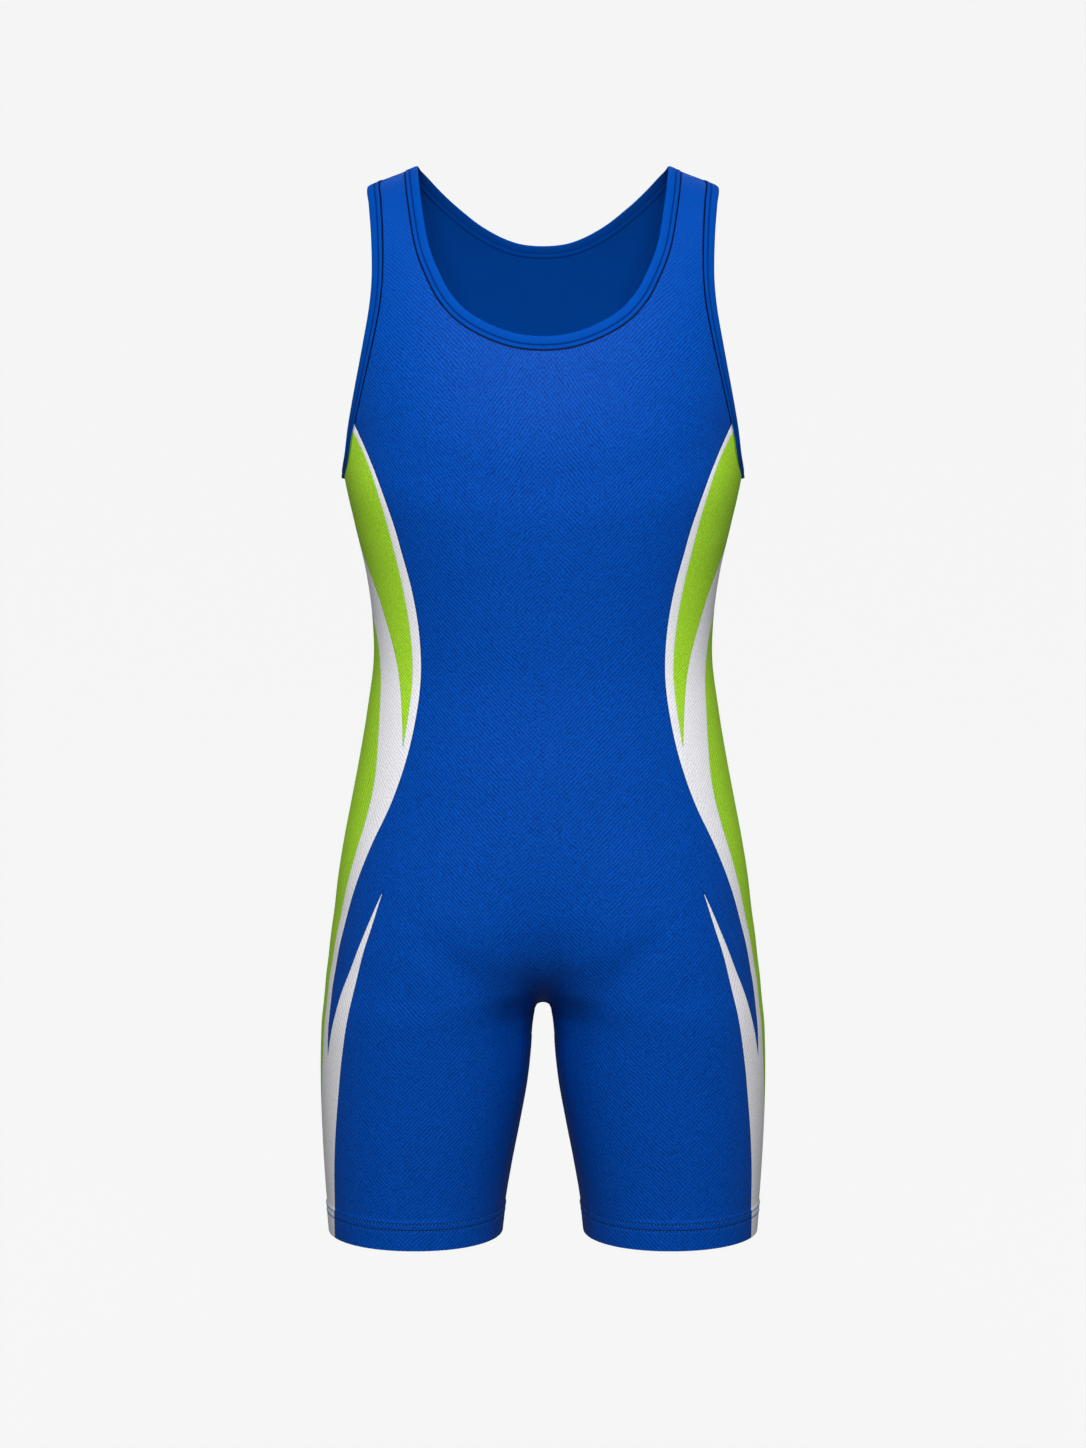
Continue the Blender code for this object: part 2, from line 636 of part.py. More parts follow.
def spindle_grids(behind):
    """The lower lime insert on one half, pointed at both ends."""
    rows = levels_between(SPINDLE_END, SPINDLE_TOP)
    columns = SPINDLE_COLUMNS // 2
    grid = side_grid(gap_from(SPINDLE), lambda z: 90.0, columns, rows, behind)
    grid[0] = [body_point(90.0, SPINDLE_END + BLUNT_BACK, behind)] * (columns + 1)
    grid[-1] = [body_point(90.0, SPINDLE_TOP - BLUNT_BACK, behind)] * (columns + 1)
    return [grid]


# ---------------------------------------------------------------------------- solids
for old in list(bpy.data.objects):
    bpy.data.objects.remove(old)
garment = bpy.data.collections.new("wrestling_singlet")
bpy.context.scene.collection.children.link(garment)


def finish_of(name, colour, roughness):
    material = bpy.data.materials.new(name)
    material.use_nodes = True
    shader = material.node_tree.nodes["Principled BSDF"]
    shader.inputs["Base Color"].default_value = colour
    shader.inputs["Roughness"].default_value = roughness
    shader.inputs["Sheen Weight"].default_value = 0.3
    material.diffuse_color = colour
    return material


def piece(name, grids, colour, wall, mirrored=False, side=1):
    """One cloth piece: its grids joined along shared edges, mirrored if it crosses the centre."""
    bm = bmesh.new()
    for grid in grids:
        rows, columns = len(grid) - 1, len(grid[0]) - 1
        made = bmesh.ops.create_grid(bm, x_segments=columns, y_segments=rows, size=1.0)["verts"]
        for vertex in made:
            row = round((vertex.co.y + 1) * rows / 2)
            column = round((vertex.co.x + 1) * columns / 2)
            vertex.co = np.asarray(grid[row][column]) * (side * MM, MM, MM)
    bmesh.ops.remove_doubles(bm, verts=bm.verts, dist=0.00003)
    bmesh.ops.dissolve_degenerate(bm, edges=bm.edges, dist=0.00001)
    bmesh.ops.triangulate(bm, faces=bm.faces, quad_method="SHORT_EDGE", ngon_method="BEAUTY")
    bmesh.ops.recalc_face_normals(bm, faces=bm.faces)
    mesh = bpy.data.meshes.new(name)
    bm.to_mesh(mesh)
    bm.free()
    mesh.materials.append(finish_of(name + "_cloth", colour, 0.62))
    item = bpy.data.objects.new(name, mesh)
    garment.objects.link(item)
    if mirrored:
        mirror = item.modifiers.new("Mirror", "MIRROR")
        mirror.merge_threshold = 0.0001
    shell = item.modifiers.new("Wall", "SOLIDIFY")
    shell.thickness = wall * MM
    shell.offset = 0.0
    if wall == CLOTH_WALL:
        hem = item.vertex_groups.new(name="hem")
        for vertex in mesh.vertices:
            turned = vertex.co.z <= (HEM_TOP + 0.5) * MM
            hem.add([vertex.index], 1.0 if turned else CLOTH_WALL / HEM_WALL, "REPLACE")
        shell.thickness = HEM_WALL * MM
        shell.vertex_group = "hem"
    return item


def binding(name, fold, edge, mirrored=False, side=1):
    """A folded strip round an opening, from its stitched seam to the edge it wraps."""
    item = piece(name, [list(zip(fold, edge))], BINDING_BLUE, BINDING_WALL, mirrored, side)
    rounding = item.modifiers.new("Fold", "BEVEL")
    rounding.width = 0.8 * MM
    rounding.segments = 1
    rounding.limit_method = "ANGLE"
    rounding.angle_limit = math.radians(50)
    return item


piece("front_panel", panel_rows(False), BLUE, CLOTH_WALL, mirrored=True)
piece("back_panel", panel_rows(True), BLUE, CLOTH_WALL, mirrored=True)
piece("crotch_gusset", [gusset_rows()], BLUE, CLOTH_WALL, mirrored=True)
for word, side in (("left", 1), ("right", -1)):
    for name, grids, colour in (
        ("side_panel_", white_grids, WHITE),
        ("lime_insert_upper_", lime_grids, LIME),
        ("lime_insert_lower_", spindle_grids, LIME),
    ):
        piece(name + word, grids(False) + grids(True), colour, CLOTH_WALL, side=side)

front_neck_rows = SIDE_ROWS + FRONT_ARM_ROWS - FRONT_NECK_ROW
neck_places = np.concatenate([
    to_shoulder(neck_seam, 0, neck_top_place, front_neck_rows),
    to_shoulder(neck_seam, neck_end_place, neck_top_place, BACK_ARM_ROWS - BACK_NECK_ROW)[-2::-1],
])
binding("neck_binding", at(neck_fold, neck_places), at(neck_edge, neck_places), mirrored=True)
arm_places = np.concatenate([
    to_shoulder(arm_seam, front_corner, 0, FRONT_ARM_ROWS)[::-1],
    sample(arm_seam, front_lime, armpit_place, LIME_COLUMNS),
    sample(arm_seam, armpit_place, back_lime, LIME_COLUMNS)[1:],
    to_shoulder(arm_seam, back_corner, closing_place, BACK_ARM_ROWS),
])
for word, side in (("left", 1), ("right", -1)):
    binding("armhole_binding_" + word, at(arm_fold, arm_places), at(arm_edge, arm_places), side=side)
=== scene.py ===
import math
from functools import lru_cache

import bmesh
import bpy
import numpy as np
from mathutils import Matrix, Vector
from mathutils.kdtree import KDTree


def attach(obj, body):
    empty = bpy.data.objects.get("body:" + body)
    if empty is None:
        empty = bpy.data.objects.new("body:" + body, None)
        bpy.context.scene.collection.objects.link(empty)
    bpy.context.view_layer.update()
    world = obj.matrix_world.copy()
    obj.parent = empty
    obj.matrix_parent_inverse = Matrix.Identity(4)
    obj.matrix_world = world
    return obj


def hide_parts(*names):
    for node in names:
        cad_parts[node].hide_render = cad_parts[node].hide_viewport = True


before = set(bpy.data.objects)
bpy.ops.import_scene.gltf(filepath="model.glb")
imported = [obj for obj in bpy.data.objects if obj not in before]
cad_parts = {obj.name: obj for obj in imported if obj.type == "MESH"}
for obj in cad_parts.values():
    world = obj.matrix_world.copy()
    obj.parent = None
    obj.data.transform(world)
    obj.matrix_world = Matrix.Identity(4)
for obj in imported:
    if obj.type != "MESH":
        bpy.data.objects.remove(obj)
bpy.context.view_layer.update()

# ---------------------------------------------------------------------------- studio
# A long lens looks slightly down at the front. Two broad suns of like strength stand in front and
# behind, with a softbox near each side, of which only the one in front gives the cloth a shine. A
# pale sweep lies far below the hems, out of reach of their shadows.
scene = bpy.context.scene
scene.view_settings.view_transform = "Standard"

CAMERA_DISTANCE = 9.0
CAMERA_RISE = math.radians(11.5)
CAMERA_AIM = Vector((0.0, 0.0, -0.4556))
FLOOR_LEVEL = -2.05
FLOOR_HALF_SIZE = 45.0

camera = bpy.data.objects.new("camera", bpy.data.cameras.new("camera"))
camera.data.lens = 276.2
camera.location = CAMERA_AIM + CAMERA_DISTANCE * Vector((0, -math.cos(CAMERA_RISE), math.sin(CAMERA_RISE)))
camera.rotation_euler = (math.pi / 2 - CAMERA_RISE, 0, 0)
scene.collection.objects.link(camera)
scene.camera = camera


def sun(name, strength, spread, rise, turn):
    """A soft light from far away, so high above the horizon and turned so far from the front."""
    light = bpy.data.lights.new(name, "SUN")
    light.energy = strength
    light.angle = math.radians(spread)
    lamp = bpy.data.objects.new(name, light)
    lamp.rotation_euler = (math.radians(90 - rise), 0, math.radians(turn))
    lamp.visible_glossy = False
    scene.collection.objects.link(lamp)


def softbox(name, power, size, place, aim, shines=False):
    """A square soft light near the garment."""
    light = bpy.data.lights.new(name, "AREA")
    light.energy = power
    light.size = size
    lamp = bpy.data.objects.new(name, light)
    lamp.location = place
    lamp.rotation_euler = (Vector(aim) - Vector(place)).to_track_quat("-Z", "Y").to_euler()
    lamp.visible_glossy = shines
    scene.collection.objects.link(lamp)


sun("key_light", 2.05, 26, 34, 0)
sun("back_light", 2.0, 40, 33, 180)
softbox("front_softbox", 16.5, 0.8, (0, -1.2, 0.65), (0, -0.1, -0.2), True)
softbox("back_softbox", 15.0, 0.9, (0, 1.3, 0.55), (0, 0.1, -0.4))
softbox("left_softbox", 2.2, 1.0, (1.5, 0.1, -0.2), (0, 0, -0.45))
softbox("right_softbox", 2.2, 1.0, (-1.5, 0.1, -0.2), (0, 0, -0.45))

world = bpy.data.worlds.new("studio")
world.use_nodes = True
scene.world = world


def add(tree, kind, inputs=None, **settings):
    """A new node with its settings, and each input linked or given a value."""
    made = tree.nodes.new("ShaderNode" + kind)
    for key, value in settings.items():
        setattr(made, key, value)
    for key, value in (inputs or {}).items():
        if isinstance(value, bpy.types.NodeSocket):
            tree.links.new(value, made.inputs[key])
        else:
            made.inputs[key].default_value = value
    return made


def colour(code):
    """A linear colour from six sRGB hex digits."""
    parts = [int(code[k : k + 2], 16) / 255 for k in (0, 2, 4)]
    return tuple(p / 12.92 if p <= 0.04045 else ((p + 0.055) / 1.055) ** 2.4 for p in parts) + (1.0,)


def blank(name, roughness, shine):
    """A new material, its nodes and the inputs of its shader."""
    material = bpy.data.materials.new(name)
    material.use_nodes = True
    surface = material.node_tree.nodes["Principled BSDF"].inputs
    surface["Roughness"].default_value = roughness
    surface["Specular IOR Level"].default_value = shine
    return material, material.node_tree, surface


sky = world.node_tree
seen = add(sky, "LightPath").outputs["Is Camera Ray"]
fill = add(sky, "Background", {"Color": colour("ffffff"), "Strength": 0.15})
beyond = add(sky, "Background", {"Color": colour("f5f6f5"), "Strength": 1.0})
both = add(sky, "MixShader", {0: seen, 1: fill.outputs[0], 2: beyond.outputs[0]})
sky.links.new(both.outputs[0], sky.nodes["World Output"].inputs["Surface"])

ground = bpy.data.meshes.new("floor")
shape = bmesh.new()
bmesh.ops.create_grid(shape, x_segments=1, y_segments=1, size=FLOOR_HALF_SIZE)
bmesh.ops.translate(shape, verts=shape.verts, vec=(0, 0, FLOOR_LEVEL))
shape.to_mesh(ground)
shape.free()
floor = bpy.data.objects.new("floor", ground)
scene.collection.objects.link(floor)
floor.visible_diffuse = False
floor.visible_glossy = False
# Matt background paper, lit evenly, so that it gives a plain pale grey with no shine.
sweep, _, paper = blank("matt_paper_sweep", 1.0, 0.0)
paper["Base Color"].default_value = colour("e4e5e4")
paper["Emission Color"].default_value = colour("f5f6f5")
paper["Emission Strength"].default_value = 0.26
ground.materials.append(sweep)

# ---------------------------------------------------------------------------- front panel
# Royal blue warp knit in one piece from the shoulders to both thighs, cut with two legs and with a
# notch on each thigh for the white spike. Overlocked to its neighbours, its leg ends turned up.
MM = 0.001

# The form that fills the garment out: a squared oval for each height, the two legs' ovals joined
# by a soft valley, and the chest and back drawn in towards the shoulder line.
# Millimetres: height, half width, depth in front, depth behind, squareness, leg centre, cleft.
SECTIONS = (
    (0, 165, 112, 98, 2.35, 0, 60),
    (-60, 165, 113, 98, 2.35, 0, 60),
    (-150, 165, 114, 98, 2.35, 0, 60),
    (-200, 163, 115, 97, 2.35, 0, 60),
    (-254, 159, 114, 95, 2.35, 0, 60),
    (-290, 151, 110, 91, 2.3, 0, 60),
    (-330, 142, 105, 88, 2.25, 0, 60),
    (-370, 137, 101, 86, 2.2, 0, 60),
    (-400, 136.2, 99, 88, 2.2, 0, 60),
    (-440, 141, 100, 95, 2.2, 0, 60),
    (-480, 147.5, 103, 105, 2.2, 0, 60),
    (-520, 155, 105, 116, 2.2, 4, 60),
    (-550, 160.7, 106, 123, 2.2, 17, 50),
    (-580, 165.5, 106, 126, 2.15, 35, 42),
    (-610, 169, 105, 126, 2.1, 53.5, 34),
    (-630, 171.8, 103, 124, 2.1, 64, 28),
    (-650, 174, 100, 120, 2.1, 73.5, 20),
    (-664, 175.8, 98, 116, 2.1, 80.5, 14),
    (-677, 176.9, 97, 112, 2.1, 88.4, 7),
    (-686, 177.8, 96, 109, 2.1, 91.9, 7),
    (-701, 179.4, 94, 106, 2.1, 94.2, 7),
    (-720, 180.2, 92, 102, 2.1, 95.1, 7),
    (-750, 180.5, 89, 97, 2.1, 96.8, 7),
    (-784, 179.7, 86, 91, 2.1, 99.4, 7),
    (-820, 178, 82, 86, 2.1, 102, 7),
    (-850, 176, 79, 82, 2.1, 103.5, 7),
    (-876, 174, 77, 79, 2.1, 104, 7),
)
SHOULDER_SLOPE = 0.415
NECK_POINT_X = 100.0
YOKE = -250.0


@lru_cache(maxsize=None)
def column_of(table, column):
    """The heights of a table, and the values and slopes of one of its columns."""
    rows = np.asarray(table, float)[::-1]
    return rows[:, 0], rows[:, column], np.gradient(rows[:, column], rows[:, 0])


def curved(t, start, lead, end, trail):
    """The way from one value to the next, with the slope that it leaves and arrives with."""
    return (
        (2 * t**3 - 3 * t**2 + 1) * start
        + (t**3 - 2 * t**2 + t) * lead
        + (3 * t**2 - 2 * t**3) * end
        + (t**3 - t**2) * trail
    )


def smooth(table, height, column=1):
    """A column of a table at some heights, on a smooth curve through its rows."""
    heights, values, slopes = column_of(table, column)
    height = np.minimum(np.maximum(height, heights[0]), heights[-1])
    k = np.clip(np.searchsorted(heights, height) - 1, 0, len(heights) - 2)
    step = heights[k + 1] - heights[k]
    t = (height - heights[k]) / step
    return curved(t, values[k], slopes[k] * step, values[k + 1], slopes[k + 1] * step)


def power(value, exponent):
    return np.copysign(np.abs(value) ** exponent, value)


def ring_depth(x, height, behind):
    """Distance of the cloth from the side plane, on the plain ring."""
    half, front, back, square, centre = (smooth(SECTIONS, height, k) for k in range(1, 6))
    share = np.minimum(1.0, np.abs(x - centre) / (half - centre))
    top = SHOULDER_SLOPE * (NECK_POINT_X - x)
    drawn = np.clip((height - YOKE) / (top - YOKE), 0.0, 1.0)
    depth = np.where(behind, back, front)
    return depth * (1.0 - share**square) ** (1.0 / square) * np.sqrt(1.0 - drawn**2)


def depth_at(x, height, behind):
    """The same, with the two legs' rings joined by a soft valley at the centre line."""
    cleft = smooth(SECTIONS, height, 6)
    edge = ring_depth(cleft, height, behind)
    slope = (ring_depth(cleft + 0.1, height, behind) - edge) / 0.1
    valley = edge + slope * (x * x - cleft * cleft) / (2.0 * cleft)
    return np.where(x >= cleft, ring_depth(x, height, behind), valley)


def angle_of(x, height):
    """The angle round the form at which the cloth is a distance from the centre plane."""
    half, square, centre = (smooth(SECTIONS, height, k) for k in (1, 4, 5))
    share = np.clip((x - centre) / (half - centre), -1.0, 1.0)
    return np.degrees(np.arcsin(power(share, square / 2.0)))


def on_body(angle, height):
    """Points at an angle round the form, from the centre front (0) to the centre back (180)."""
    half, square, centre = (smooth(SECTIONS, height, k) for k in (1, 4, 5))
    x = centre + (half - centre) * power(np.sin(np.radians(angle)), 2.0 / square)
    behind = np.asarray(angle) > 90.0
    depth = depth_at(np.maximum(x, 0.0), height, behind)
    return np.stack(np.broadcast_arrays(x, np.where(behind, depth, -depth), height), axis=-1)


def body_point(angle, height, behind):
    """The same, counted from the centre front or, behind, from the centre back."""
    return on_body(180.0 - np.asarray(angle) if behind else angle, height)


def beside(angle, height, distance):
    """The angle that lies a distance further round the form."""
    step = np.linalg.norm(on_body(angle + 0.2, height) - on_body(angle - 0.2, height), axis=-1) / 0.4
    return angle + distance / np.maximum(step, 0.5)


def body_normal(points):
    """Outward directions of the form at some points, from how fast its shape changes there."""

    def form(p):
        half, square, centre = (smooth(SECTIONS, p[:, 2], k) for k in (1, 4, 5))
        depth = np.where(p[:, 1] > 0, smooth(SECTIONS, p[:, 2], 3), smooth(SECTIONS, p[:, 2], 2))
        share = np.minimum(1.0, np.abs(p[:, 0] - centre) / (half - centre))
        flat = (depth * (1.0 - share**square) ** (1.0 / square)) ** 2
        top = SHOULDER_SLOPE * (NECK_POINT_X - p[:, 0])
        flat = flat * (1.0 - np.maximum(0.0, (p[:, 2] - YOKE) / (top - YOKE)) ** 2)
        return p[:, 1] ** 2 - flat

    inside = np.asarray(points, float) - (0.2, 0.0, 0.0)
    slope = np.stack([form(inside + 0.05 * a) - form(inside - 0.05 * a) for a in np.eye(3)], axis=-1)
    return slope / np.linalg.norm(slope, axis=1)[:, None]


# The neck and armhole edges, and the seam lines a binding's width inside them, where the folded
# strips are sewn to the cloth. Millimetres: distance from the centre line, height.
NECK_FRONT = ((0, -120), (18, -118.6), (34, -114.4), (50, -107.5), (63.6, -98.7), (75, -86), (83, -71.5),
              (89, -58), (92.7, -45.2), (96, -27), (98.5, -11))
NECK_BACK = ((97.6, -6), (92.5, -13), (83, -25.5), (73.3, -36.5), (63.6, -46), (53.9, -54.8), (44.1, -62),
             (32, -69), (18, -74.2), (0, -76))
ARMHOLE_FRONT = ((139.7, -28), (137.7, -50), (137, -79.7), (139, -103.6), (144, -133), (151, -172),
                 (156, -203), (158.6, -226))
ARMHOLE_BACK = ((157, -242.5), (147, -241.5), (133, -238.5), (119, -232.5), (106, -224), (94, -213.5),
                (83, -200), (75, -182), (69.5, -160), (71, -139), (76.5, -118), (84.5, -98), (91.5, -80),
                (98, -64), (105.5, -49.4), (113.4, -38), (123.3, -27), (133, -20))
ARMPIT = -242.5
NECK_TOP = (100, 0)
ARMHOLE_TOP = (141, -17)
BINDING_WIDTH = 10.0
BINDING_GAP = 0.5
SEAM_GAP = 0.1
CURVE_STEPS = 16


def through(points, closed, steps=CURVE_STEPS):
    """Many points on a smooth curve through a few."""
    points = np.asarray(points, float)
    count = len(points)
    if closed:
        before = np.roll(points, 1, axis=0)
        after = np.roll(points, -1, axis=0)
        after2 = np.roll(points, -2, axis=0)
    else:
        mirror = np.array((-1.0, 1.0, 1.0))
        before = np.vstack([points[1] * mirror, points[:-1]])
        after = np.vstack([points[1:], points[-2] * mirror])
        after2 = np.vstack([points[2:], points[-2] * mirror, points[-3] * mirror])
    curve = []
    for k in range(count if closed else count - 1):
        chord = np.linalg.norm(after[k] - points[k])
        lead = (after[k] - before[k]) / (np.linalg.norm(points[k] - before[k]) + chord) * chord
        trail = (after2[k] - points[k]) / (np.linalg.norm(after2[k] - after[k]) + chord) * chord
        curve += [curved(t, points[k], lead, after[k], trail) for t in np.arange(steps) / steps]
    if not closed:
        curve.append(points[-1])
    return np.array(curve)


def edge_points(rows, behind):
    """Points on the form from their distances from the centre line and heights."""
    return [(x, (1 if behind else -1) * float(depth_at(x, z, behind)), z) for x, z in rows]


def inset(edge, closed, inward, distance):
    """The edge moved over the cloth by a distance, to the side that inward names at its start."""
    if closed:
        along = np.roll(edge, -1, axis=0) - np.roll(edge, 1, axis=0)
    else:
        along = np.gradient(edge, axis=0)
        along[0] *= (1, 0, 0)
        along[-1] *= (1, 0, 0)
    across = np.cross(body_normal(edge), along)
    if not closed:
        across[0] *= (0, 1, 1)
        across[-1] *= (0, 1, 1)
    across /= np.linalg.norm(across, axis=1)[:, None]
    if np.dot(across[0], inward) < 0:
        across = -across
    return edge + distance * across


def lengths(curve):
    """How far along a curve each of its points lies."""
    return np.concatenate([[0.0], np.cumsum(np.linalg.norm(np.diff(curve, axis=0), axis=1))])


def sample(curve, starts, ends, count):
    """Evenly spaced places along a curve, as fractional indices."""
    along = lengths(curve)
    a, b = np.interp((starts, ends), np.arange(len(curve)), along)
    return np.interp(np.linspace(a, b, count + 1), along, np.arange(len(curve)))


def moved(places, curve, distance):
    """The place that lies a distance further along a curve."""
    along = lengths(curve)
    index = np.arange(len(curve))
    return float(np.interp(np.interp(places, index, along) + distance, along, index))


def picked(curve, measure, places):
    """Points of a curve at some places of a measure that runs along it."""
    return np.stack([np.interp(places, measure, curve[:, k]) for k in range(3)], axis=-1)


def at(curve, places):
    return picked(curve, np.arange(len(curve)), places)


neck_edge = through(
    edge_points(NECK_FRONT, False) + [(NECK_TOP[0], 0, NECK_TOP[1])] + edge_points(NECK_BACK, True), False
)
neck_seam = inset(neck_edge, False, (0, 0, -1), BINDING_WIDTH + BINDING_GAP / 2)
neck_top_place = float(CURVE_STEPS * len(NECK_FRONT))
neck_end_place = float(len(neck_seam) - 1)
arm_edge = through(
    [(ARMHOLE_TOP[0], 0, ARMHOLE_TOP[1])]
    + edge_points(ARMHOLE_FRONT, False)
    + [(float(smooth(SECTIONS, ARMPIT, 1)), 0.0, ARMPIT)]
    + edge_points(ARMHOLE_BACK, True),
    True,
)
arm_seam = inset(arm_edge, True, (-1, 0, 0), BINDING_WIDTH + BINDING_GAP / 2)
arm_edge, arm_seam = (np.vstack([c, c[:1]]) for c in (arm_edge, arm_seam))
armpit_place = float(CURVE_STEPS * (1 + len(ARMHOLE_FRONT)))
closing_place = float(len(arm_seam) - 1)

# The seam to the white knit, the same in front and behind: height, angle round the form. The notch
# for the white spike on the front of the thigh: height, the angles of its two sides.
WHITE_EDGE = ((-199, 66.0), (-221, 57.9), (-239, 52.9), (-255, 50.0), (-271, 48.3), (-305, 46.5),
              (-338, 45.0), (-372, 44.1), (-397, 43.9), (-438, 44.7), (-471, 47.0), (-505, 50.9),
              (-540, 56.5), (-574, 61.3), (-609, 65.6), (-643, 68.3), (-677, 69.0), (-710, 68.0),
              (-726, 67.5))
SPIKE_FRONT = ((-577, 44.7, 44.7), (-604, 46.1, 48.4), (-639, 47.9, 53.1), (-674, 48.6, 59.4),
               (-705, 50.0, 64.3), (-726, 52.0, 67.5), (-756, 54.6, 67.5), (-791, 58.4, 67.5),
               (-816, 60.9, 67.5), (-846, 63.3, 67.5), (-876, 66.5, 67.5))
WEDGE_TIP = -726.0
LIME_TIP = -462.0
WHITE_APEX = -300.0
TIP_BACK = 3.0

front_part = np.arange(0, int(armpit_place) + 1)
front_corner = float(np.interp(-WHITE_EDGE[0][0], -arm_seam[front_part, 2], front_part))


def corner_edge(table, place, height, share):
    """Angle of a seam, brought to its corner at the armhole over the rows below it."""
    corner = at(arm_seam, place)
    return smooth(table, height) + share**2 * (angle_of(corner[0], corner[2]) - smooth(table, corner[2]))


# Every panel is laid out in the same rows, from the hem to the shoulder, so that two neighbours
# meet at one seam. Each coarse row is divided finely enough to carry soft creases. A row lies at
# one height at the side and may lie at another at the centre line or the inseam.
LEVELS = (-876, -856, -852, -835, -818, -800, -781, -762, -744, -726, -712, -697, -682, -667, -652,
          -637, -622, -607, -592, -577, -558, -539, -520, -501, -481, -462, -442, -421, -400, -380,
          -360, -345, -330, -315, -300)
LEVEL_INNER = ((-876, -876), (-800, -798), (-744, -736), (-726, -714), (-712, -699), (-697, -689),
               (-682, -682), (-667, -678.5), (-652, -677), (-637, -672), (-622, -664), (-607, -652),
               (-592, -638), (-577, -621), (-545, -578), (-513, -532), (-479, -484), (-462, -462))
INSEAM_X = ((-677, 0.0), (-678.5, 5.5), (-682, 9.0), (-689, 12.3), (-699, 15.0))
CROTCH_SEAM = -677.0
SEAM_INSET = 6.5
GUSSET_GAP = 0.12
SIDE_ROWS = 7
FRONT_NECK_ROW = 6
FRONT_ARM_ROWS = 12
TOP_ROW = 2.0
FINE = 5
# The share of a row's columns that lie inside the notch's line, reached this far above the notch.
PLAIN_SPLIT = 0.8
SPLIT_FADE = 80.0
# Where the rows begin to run straight across the strap, and over which rise.
STRAP_LOW = -80.0
STRAP_RISE = 50.0
# The middle of each half, where all rows agree on how far round the form they are.
HALF_MIDDLE = 90.0
MIDDLE_START = 98.0
TIP_ROW = LEVELS.index(LIME_TIP)
APEX_ROW = len(LEVELS) - 1


def divided(count):
    """Fractional row numbers, each coarse row divided."""
    return np.arange(count * FINE + 1) / FINE


def level(row):
    """Height of a row at the side."""
    return float(np.interp(row, np.arange(len(LEVELS)), LEVELS))


def rows_between(low, high):
    """Heights of the divided rows from one level to another."""
    return [level(r) for r in divided(APEX_ROW) if low - 0.01 <= level(r) <= high + 0.01]


def inner_edge_x(height):
    """The inner edge of the leg, seen from the front."""
    return 2.0 * smooth(SECTIONS, height, 5) - smooth(SECTIONS, height, 1)


def inseam_x(height):
    """Distance of the seam to the crotch gusset from the centre plane."""
    if height < INSEAM_X[-1][0]:
        return inner_edge_x(height) + SEAM_INSET
    return smooth(INSEAM_X, height)


def centre_step(behind):
    """Distance between two rows at the centre line, from the lime point up to the neck."""
    rows = APEX_ROW - TIP_ROW
    if behind:
        return (neck_seam[-1][2] - LIME_TIP) / (rows + SIDE_ROWS + BACK_NECK_ROW)
    return (neck_seam[0][2] - LIME_TIP) / (rows + FRONT_NECK_ROW)


def level_inner(row, behind):
    """Height of a level row at the centre line or inseam."""
    if level(row) <= LIME_TIP:
        return float(np.interp(level(row), *np.transpose(LEVEL_INNER)))
    return LIME_TIP + centre_step(behind) * (row - TIP_ROW)


def row_start(row):
    """How far round the form a row begins, counted so that rows agree down the middle of each half."""
    x = row[:, 0]
    return MIDDLE_START + max(x[0] - HALF_MIDDLE, 0.0) - np.interp(HALF_MIDDLE, x, lengths(row))


